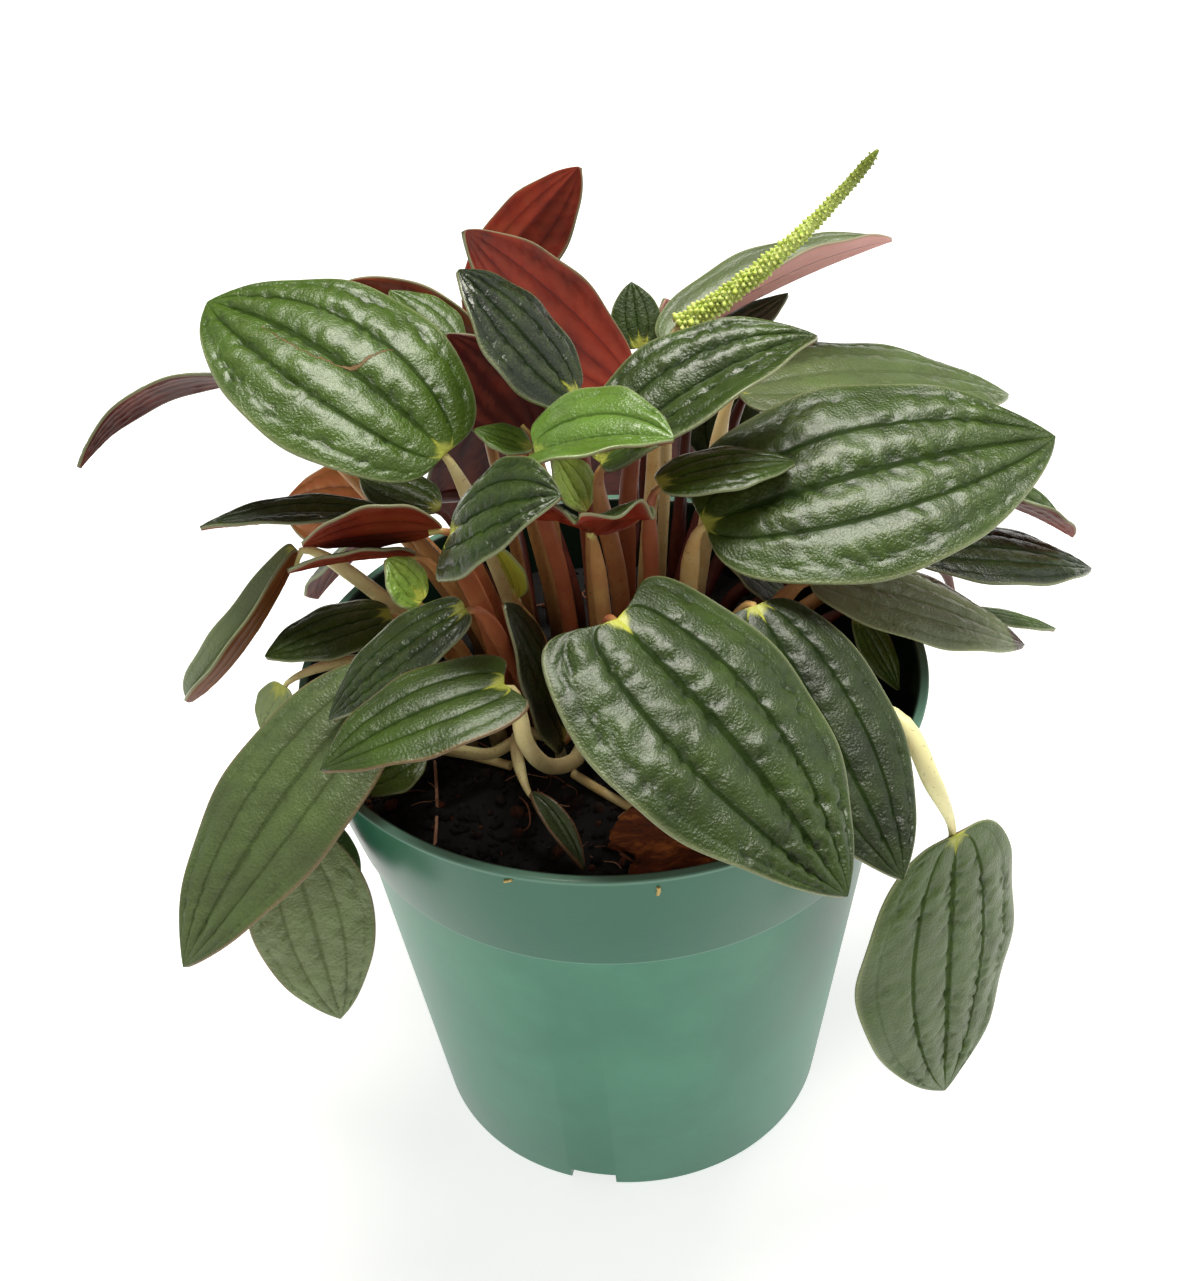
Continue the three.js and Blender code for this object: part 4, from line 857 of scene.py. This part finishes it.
# Turns a profile of radii and heights round the upright axis
def turnedMesh(name, profile, sides):
    points, faces, starts = [], [], []
    angles = np.arange(sides) / sides * fullTurn
    for radius, height in profile:
        starts.append(len(points))
        around = angles if radius > 1e-6 else [0]
        points += [(radius * math.cos(a), radius * math.sin(a), height) for a in around]
    for i, (a, b) in enumerate(zip(starts, starts[1:])):
        for j in range(sides):
            k = (j + 1) % sides
            if profile[i][0] < 1e-6:
                faces.append((a, b + k, b + j))
            elif profile[i + 1][0] < 1e-6:
                faces.append((a + j, a + k, b))
            else:
                faces.append((a + j, a + k, b + k, b + j))
    return newObject(name, points, [], faces)


# Rounds the corners of a profile, each with its own radius
def roundedProfile(corners, steps=4):
    made = []
    for i, (radius, height, rounding) in enumerate(corners):
        here = np.array([radius, height], float)
        if rounding == 0:
            made.append(tuple(here))
            continue
        start, end = (here + unit(np.array(corners[k][:2], float) - here) * rounding
                      for k in (i - 1, i + 1))
        for t in np.linspace(0, 1, steps + 1):
            made.append(tuple((1 - t) ** 2 * start + 2 * t * (1 - t) * here + t * t * end))
    return made


def buildPot():
    top, wall, ledge = pot["height"], pot["wall"], bandFoot - pot["step"]
    slope = (pot["wallTopRadius"] - pot["baseRadius"]) / bandFoot
    # radius, height and rounding of each corner, up the outside and down the inside
    corners = [
        (0, 0, 0), (pot["baseRadius"], 0, pot["round"]), (pot["wallTopRadius"], ledge, 0.4),
        (pot["bandFootRadius"], bandFoot, 0.35), (pot["rimRadius"], top, 0.6),
        (pot["rimRadius"] - wall, top, 0.45), (pot["bandFootRadius"] - wall, bandFoot, 0.4),
        (pot["wallTopRadius"] - wall, ledge, 0.4),
        (pot["baseRadius"] + slope * pot["floor"] - wall, pot["floor"], 0.8), (0, pot["floor"], 0),
    ]
    thing = turnedMesh("pot", roundedProfile(corners), pot["sides"])
    size = Vector((pot["notchDepth"], pot["notchWidth"], pot["notchHeight"] * 2, 1 / mm)) * mm
    for i in range(pot["notches"]):
        bpy.ops.mesh.primitive_cube_add(size=1)
        cutter = bpy.context.object
        angle = math.radians(pot["notchAngle"] + i * 360 / pot["notches"])
        place = Matrix.Rotation(angle, 4, "Z") @ Matrix.Translation((pot["baseRadius"] * mm, 0, 0))
        cutter.data.transform(place @ Matrix.Diagonal(size))
        cut = thing.modifiers.new("notch", "BOOLEAN")
        cut.operation, cut.solver, cut.object = "DIFFERENCE", "EXACT", cutter
        keepResult(thing)
        bpy.data.objects.remove(cutter)
    thing.data.materials.clear()
    thing.data.materials.append(makePotPlastic())
    finishPiece(thing, "pot", "pot")
    # corners stay crisp
    bpy.context.view_layer.objects.active = thing
    bpy.ops.object.select_all(action="DESELECT")
    thing.select_set(True)
    bpy.ops.object.shade_smooth_by_angle(angle=math.radians(pot["sharpAbove"]))


ground = {
    "top": 82, "gap": 0.3, "bump": 0.9, "edge": 1.5, "clear": 0.1, "holeFloor": 75.6, "collar": 4,
    "rings": 46, "sides": 150, "grain": 0.5, "crumbDensity": 3.0e5, "smallest": 0.35, "largest": 1.5,
    "fibres": 70, "fibreReach": 44, "fibreEnd": 46.5, "fibreStep": 1.1, "fibrePoints": 14,
}


# Damp peat-based potting mix: nearly black, with rusty crumbs of bark and coir. The scale is
# 1000 over the grain's size, which is 2.4 mm in the mix, 1.7 in crumbs, 2 in roots and 1.1 in straw.
def makeSoilMix(name, stops, scale):
    material, add = newMaterial(name)
    coords = add("TexCoord", out="Object")
    tone = add("Attribute", out="Fac", attribute_name="tone")
    grain = add("TexNoise", {0: coords, "Scale": scale, "Detail": 4.0, "Roughness": 0.6})
    mixed = add("Math MULTIPLY_ADD", add("Math SUBTRACT", grain, 0.5), 0.5, tone)
    pores = add("TexNoise", {0: coords, "Scale": scale * 3, "Detail": 4.0, "Roughness": 0.7})
    return finishMaterial(material, add("ValToRGB", mixed, stops=stops), [],
                          {"Roughness": 0.85, "Specular IOR Level": 0.35}, (pores, 0.4, 0.8))


# Pine bark: rusty brown layers split into splinters
def makeBark():
    material, add = newMaterial("splinteredPineBark")
    # splinters 7 mm long and 1.9 mm wide, in layers of 1.1 mm
    stretched = add("VectorMath MULTIPLY", add("TexCoord", out="Object"), (140.0, 520.0, 900.0))
    layers = add("TexNoise", {0: stretched, "Scale": 1.0, "Detail": 5.0, "Roughness": 0.65})
    colour = add("ValToRGB", layers, stops=((0.25, "#2a1107"), (0.5, "#5c2c12"), (0.75, "#a8622a")))
    return finishMaterial(material, colour, [], {"Roughness": 0.85, "Specular IOR Level": 0.25},
                          (layers, 0.5, 0.9))


# Soil top: crumbs of peat scattered on the faces that look up
def makeCrumbRule():
    tree, add, given = makeTree("crumbRule", {
        "Crumbs per square metre": 2.0e5, "Smallest": 0.35, "Largest": 1.5, "Seed": 4})
    share = add("GeometryNodeInputNamedAttribute FLOAT", "crumbShare")
    density = add("Math MULTIPLY", share, given["Crumbs per square metre"])
    points = add("GeometryNodeDistributePointsOnFaces", {
        "Mesh": given["Geometry"], "Density": density, "Seed": given["Seed"]}, distribute_method="RANDOM")
    lumps = add("TexNoise", {0: add("GeometryNodeInputPosition"), "Scale": 1.4, "Detail": 1.0})
    bent = add("VectorMath SCALE", {0: add("GeometryNodeInputNormal"),
                                    "Scale": add("Math SUBTRACT", lumps, 0.5)})
    crumb = add("GeometryNodeMeshIcoSphere", {"Radius": 1.0, "Subdivisions": 2})
    crumb = add("GeometryNodeSetPosition", {"Geometry": crumb, "Offset": bent})
    spin, stretch = (add("FunctionNodeRandomValue FLOAT_VECTOR", {0: low, 1: high, "Seed": seed})
                     for low, high, seed in (((0.0, 0.0, 0.0), (6.28, 6.28, 6.28), 11),
                                             ((0.55, 0.7, 0.6), (1.5, 1.1, 1.0), 13)))
    pick, tone = (add("FunctionNodeRandomValue FLOAT", {2: 0.0, 3: 1.0, "Seed": seed}, out=1)
                  for seed in (12, 14))
    size = add("Mix FLOAT", {0: add("Math POWER", pick, 2.6), 2: given["Smallest"], 3: given["Largest"]})
    scale = add("VectorMath SCALE", {0: stretch, "Scale": add("Math MULTIPLY", size, mm)})
    copies = add("GeometryNodeInstanceOnPoints", {"Points": points, "Instance": crumb, "Rotation": spin,
                                                  "Scale": scale})
    copies = add("GeometryNodeStoreNamedAttribute FLOAT", {
        "Geometry": copies, "Name": "tone", "Value": add("Math POWER", tone, 2.2)}, domain="INSTANCE")
    return endTree(tree, copies, [(crumbMix,)])


# Soil body: its top is grained by noise with grains of 3 mm
def makeSoilRule():
    tree, add, given = makeTree("soilRule", {"Grain height": 0.5})
    coarse = add("TexNoise", {0: add("GeometryNodeInputPosition"), "Scale": 330.0, "Detail": 3.0,
                              "Roughness": 0.6})
    height = add("Math MULTIPLY", add("Math SUBTRACT", coarse, 0.55), 3.0 * mm)
    height = add("Math MULTIPLY", add("Math MULTIPLY", height, given["Grain height"]),
                 add("GeometryNodeInputNamedAttribute FLOAT", "topShare"))
    moved = add("GeometryNodeSetPosition", {"Geometry": given["Geometry"],
                                            "Offset": add("CombineXYZ", {2: height})})
    return endTree(tree, moved, [(soilMix,)])


def soilHeight(x, y):
    slow = np.sin(x * 0.17 + 1.1) * np.cos(y * 0.21 - 0.4)
    quick = np.sin(x * 0.61 - y * 0.37) * np.cos(y * 0.53 + x * 0.19)
    return ground["top"] + ground["bump"] * (0.6 * slow + 0.4 * quick)


# The soil's radius at a height: the pot's inside less a gap
def insideRadius(height):
    less = pot["wall"] + ground["gap"]
    if height > bandFoot:
        share = (height - bandFoot) / pot["bandHeight"]
        return pot["bandFootRadius"] + (pot["rimRadius"] - pot["bandFootRadius"]) * share - less
    share = min(height / (bandFoot - pot["step"]), 1)
    return pot["baseRadius"] + (pot["wallTopRadius"] - pot["baseRadius"]) * share - less


def buildSoil():
    low, edge, clear = pot["floor"] + ground["gap"], ground["top"] - ground["edge"], ground["clear"]
    rim, ledge = insideRadius(edge), bandFoot - pot["step"]
    profile = [(0, low), (insideRadius(low) - clear, low), (insideRadius(ledge) - clear, ledge),
               (insideRadius(bandFoot + clear), bandFoot + clear), (rim, edge)]
    profile += [(rim * share, ground["top"]) for share in np.linspace(0.985, 0.02, ground["rings"])]
    thing = turnedMesh("soil", profile + [(0, ground["top"])], ground["sides"])
    mesh = thing.data
    places = np.array([v.co for v in mesh.vertices]) / mm
    upper = places[:, 2] > ground["top"] - 0.1
    places[upper, 2] = soilHeight(places[upper, 0], places[upper, 1])
    for vertex, place in zip(mesh.vertices, places):
        vertex.co = Vector(place) * mm
    setMarks(mesh, {"topShare": upper, "tone": 0.35})
    index = {old: new for new, old in enumerate(np.flatnonzero(upper))}
    faces = [tuple(index[v] for v in polygon.vertices) for polygon in mesh.polygons
             if all(upper[v] for v in polygon.vertices)]
    applyTree(thing, makeSoilRule(), {"Grain height": ground["grain"]})
    finishPiece(thing, "soil", "soil")
    # crumbs on a copy of the soil's top, more of them at the front
    front = np.clip((15 - places[upper, 1]) / 30, 0.25, 1)
    cells = newObject("soil_crumbs", places[upper], [], faces, {"crumbShare": front})
    applyTree(cells, makeCrumbRule(), {"Crumbs per square metre": ground["crumbDensity"],
                                       "Smallest": ground["smallest"], "Largest": ground["largest"]})
    finishPiece(cells, "soil")


def buildFibres():
    random = np.random.default_rng(21)
    lines, radii = [], []
    for i in range(ground["fibres"]):
        angle = random.uniform(0, fullTurn)
        radius = ground["fibreReach"] * math.sqrt(random.uniform(0.05, 1))
        x, y = radius * math.cos(angle), radius * math.sin(angle)
        heading, bend = random.uniform(0, fullTurn), random.uniform(-0.35, 0.35)
        lift = random.uniform(0.2, 1.0)
        path = []
        for k in range(9):
            path.append((x, y, soilHeight(x, y) + lift + 0.5 * math.sin(k * 0.9 + i)))
            heading += bend + random.uniform(-0.25, 0.25)
            x, y = x + math.cos(heading) * ground["fibreStep"], y + math.sin(heading) * ground["fibreStep"]
            if math.hypot(x, y) > ground["fibreEnd"]:
                break
        if len(path) > 3:
            lines.append(centripetal(path, ground["fibrePoints"]))
            radii.append(random.uniform(0.06, 0.17))
    tones = np.repeat(random.uniform(0.1, 0.9, len(lines)), ground["fibrePoints"])
    finishPiece(makeTube("soil_fibres", lines, radii, rootSkin, 5, {"tone": tones}), "soil")


# What lies loose, each line with its radius: fallen stems, long roots, and flecks stuck to the rim
loose = {
    "lift": 0.4, "points": 20, "sides": 8,
    "stems": [(0.8, [(-30.4, -7.7), (-24.9, -9.5), (-18.0, -13.5)]),
              (0.8, [(-7.4, -15.6), (-2.9, -20.5), (2.3, -25.7)])],
    "roots": [(0.3, [(-31.2, -9.8), (-30.3, -21.4), (-30.2, -33.5), (-30.3, -38.2)]),
              (0.16, [(4.0, -36.0), (9.0, -38.5), (14.5, -37.0), (18.0, -33.0)])],
    "rimFlecks": [(0.3, [(5.1, -52.85, 90.4), (5.3, -53.1, 91.4), (5.2, -53.35, 92.4)]),
                  (0.25, [(-17.9, -50.7, 92.6), (-17.4, -50.9, 92.9), (-16.7, -51.2, 93.3)])],
}


def buildLoose():
    strawFleck = makeSoilMix("dryStrawFleck", ((0.2, "#a98a48"), (0.8, "#e6d08c")), 900.0)
    for name, things, material, marks in (
            ("soil_fallen_stems", loose["stems"], stalkSkin, {"share": 0.5, "blush": 0.2}),
            ("soil_long_root", loose["roots"], rootSkin, {"tone": 0.95}),
            ("rim_flecks", loose["rimFlecks"], strawFleck, {"tone": 0.5})):
        lines = []
        for radius, path in things:
            if len(path[0]) == 2:
                path = [(x, y, soilHeight(x, y) + loose["lift"] + radius) for x, y in path]
            lines.append(centripetal(path, loose["points"]))
        radii = [radius for radius, path in things]
        finishPiece(makeTube(name, lines, radii, material, loose["sides"], marks), "soil")


chip = {
    "outline": [(-2, -34), (0, -28), (4, -25), (10, -27), (15, -32), (17, -38), (12, -42), (1, -41),
                (2, -37)],
    "thickness": 1.8, "lift": 0.3, "points": 97, "ragged": 0.06, "narrowest": 0.02,
    # share of the outline and of the thickness, from the underside over the edge to the top
    "section": [(0.0, 0.15), (0.97, 0.2), (1.0, 0.5), (1.0, 0.8), (0.95, 1.0), (0.7, 1.08),
                (0.35, 1.0), (0.0, 1.1)],
}


def buildChip():
    outline = np.array(chip["outline"], float)
    middle = outline.mean(0)
    ring = centripetal([*outline, outline[0]], chip["points"])[:-1]
    random = np.random.default_rng(8)
    rough = np.convolve(random.uniform(-1.6, 1.6, len(ring)), (0.3, 0.4, 0.3), "same")
    points = []
    for share, level in chip["section"]:
        for spot, ragged in zip(ring, rough * chip["ragged"] * share):
            x, y = middle + (spot - middle) * max(share, chip["narrowest"]) * (1 + ragged)
            grain = 0.25 * math.sin(y * 4.1 + x * 0.7) * (level > 0.6)
            points.append((x, y, soilHeight(x, y) + chip["lift"] + chip["thickness"] * level + grain))
    faces = ringFaces(len(chip["section"]), len(ring), clockwise=True)
    thing = newObject("bark_chip", points, [], faces)
    thing.data.materials.append(makeBark())
    finishPiece(thing, "bark", "bark_chip")


camera = {"place": (0, -253.4, 288.3), "pan": 0.0072, "pitch": 0.6414, "roll": -0.0557, "lens": 52.15}


def buildCamera():
    view = bpy.data.cameras.new("camera")
    view.lens, view.sensor_width = camera["lens"], 36
    view.clip_start, view.clip_end = 0.01, 50
    thing = bpy.data.objects.new("camera", view)
    bpy.context.scene.collection.objects.link(thing)
    pitch, roll = camera["pitch"], camera["roll"]
    spin = Matrix.Rotation(camera["pan"], 3, "Z")
    ahead, up, right = (spin @ Vector(way) for way in (
        (0, math.cos(pitch), -math.sin(pitch)), (0, math.sin(pitch), math.cos(pitch)), (1, 0, 0)))
    turn = Matrix((right * math.cos(roll) + up * math.sin(roll),
                   up * math.cos(roll) - right * math.sin(roll), -ahead)).transposed().to_4x4()
    turn.translation = Vector(camera["place"]) * mm
    thing.matrix_world = turn
    bpy.context.scene.camera = thing


# Lamps in metres and watts
lamps = {
    "skyPanel": {"place": (0.1, 0.25, 1.15), "aim": (0, 0, 0.1), "size": (0.7, 0.45), "power": 18.5,
                 "colour": (1.0, 0.98, 0.9)},
    "leftPanel": {"place": (-1.0, 0.1, 0.7), "aim": (0, 0, 0.1), "size": (1.9, 1.5), "power": 3.0,
                  "colour": (1.0, 1.0, 1.0)},
    "rightPanel": {"place": (1.0, 0.1, 0.6), "aim": (0, 0, 0.1), "size": (1.5, 1.3), "power": 4.5,
                   "colour": (1.0, 1.0, 1.0)},
    "frontPanel": {"place": (-0.2, -1.0, 0.75), "aim": (0, 0, 0.08), "size": (1.2, 0.8), "power": 3.6,
                   "colour": (1.0, 0.94, 0.82)},
}
studio = {"floorColours": ("#c8c8c6", "#cccccb"), "floorSize": 8, "floorGlow": 0.72, "worldStrength": 0.03}


def buildStudio():
    bpy.ops.mesh.primitive_plane_add(size=studio["floorSize"], location=(0, 0, -0.0002))
    floor = bpy.context.object
    floor.name = "studio_floor"
    # matte white sweep: lit a little by itself, so that it stays white under the pot, and faintly
    # uneven in patches of 330 mm
    material, add = newMaterial("matteWhiteSweep")
    faint = add("TexNoise", {0: add("TexCoord", out="Object"), "Scale": 3.0})
    low, high = studio["floorColours"]
    floor.data.materials.append(finishMaterial(material, toLinear(low), [(faint, 1.0, high)], {
        "Roughness": 0.8, "Emission Color": (1, 1, 1, 1), "Emission Strength": studio["floorGlow"]}))
    for name, lamp in lamps.items():
        light = bpy.data.lights.new(name, "AREA")
        light.shape, light.size, light.size_y = "RECTANGLE", *lamp["size"]
        light.energy, light.color = lamp["power"], lamp["colour"]
        thing = bpy.data.objects.new(name, light)
        bpy.context.scene.collection.objects.link(thing)
        thing.location = lamp["place"]
        aim = Vector(lamp["aim"]) - Vector(lamp["place"])
        thing.rotation_euler = aim.to_track_quat("-Z", "Y").to_euler()
    world = bpy.context.scene.world = bpy.data.worlds.new("studioAir")
    world.use_nodes = True
    fill(world.node_tree, world.node_tree.nodes["Background"],
         {"Color": (1, 1, 1, 1), "Strength": studio["worldStrength"]})
    bpy.context.scene.view_settings.view_transform = "Standard"
    bpy.context.scene.view_settings.look = "None"


upperSkin, underSkin, stalkSkin = makeUpperSkin(), makeUnderSkin(), makeStalkSkin()
spikeSkin = makeSpikeSkin("waxySpikePits", "#cadc70", "#dcec8c", "#6c7a20")
floretSkin = makeSpikeSkin("waxyLimeFlorets", "#c6dc62", "#dcec88", "#727f22")
soilMix = makeSoilMix("dampPeatMix", ((0.2, "#020101"), (0.6, "#060403"), (0.9, "#160b06")), 420.0)
crumbMix = makeSoilMix("peatCrumbs", ((0.1, "#030202"), (0.5, "#0a0503"), (0.8, "#241008"),
                                      (1.0, "#5a2e16")), 600.0)
rootSkin = makeSoilMix("driedRootFibre", ((0.0, "#3a2014"), (0.5, "#7a4a34"), (1.0, "#b08468")), 500.0)
print("scene: materials made")

leafRule = makeLeafRule()
seats = stalkSeats(leafRows + [spike])
for index, row in enumerate(leafRows):
    buildLeaf(row, seats[index], index)
print("scene: leaves made")

buildSpike(seats[-1])
print("scene: flower spike made")

buildPot()
print("scene: pot made")

buildSoil()
buildFibres()
buildLoose()
buildChip()
print("scene: soil made")

buildCamera()
buildStudio()
print("scene: studio made")
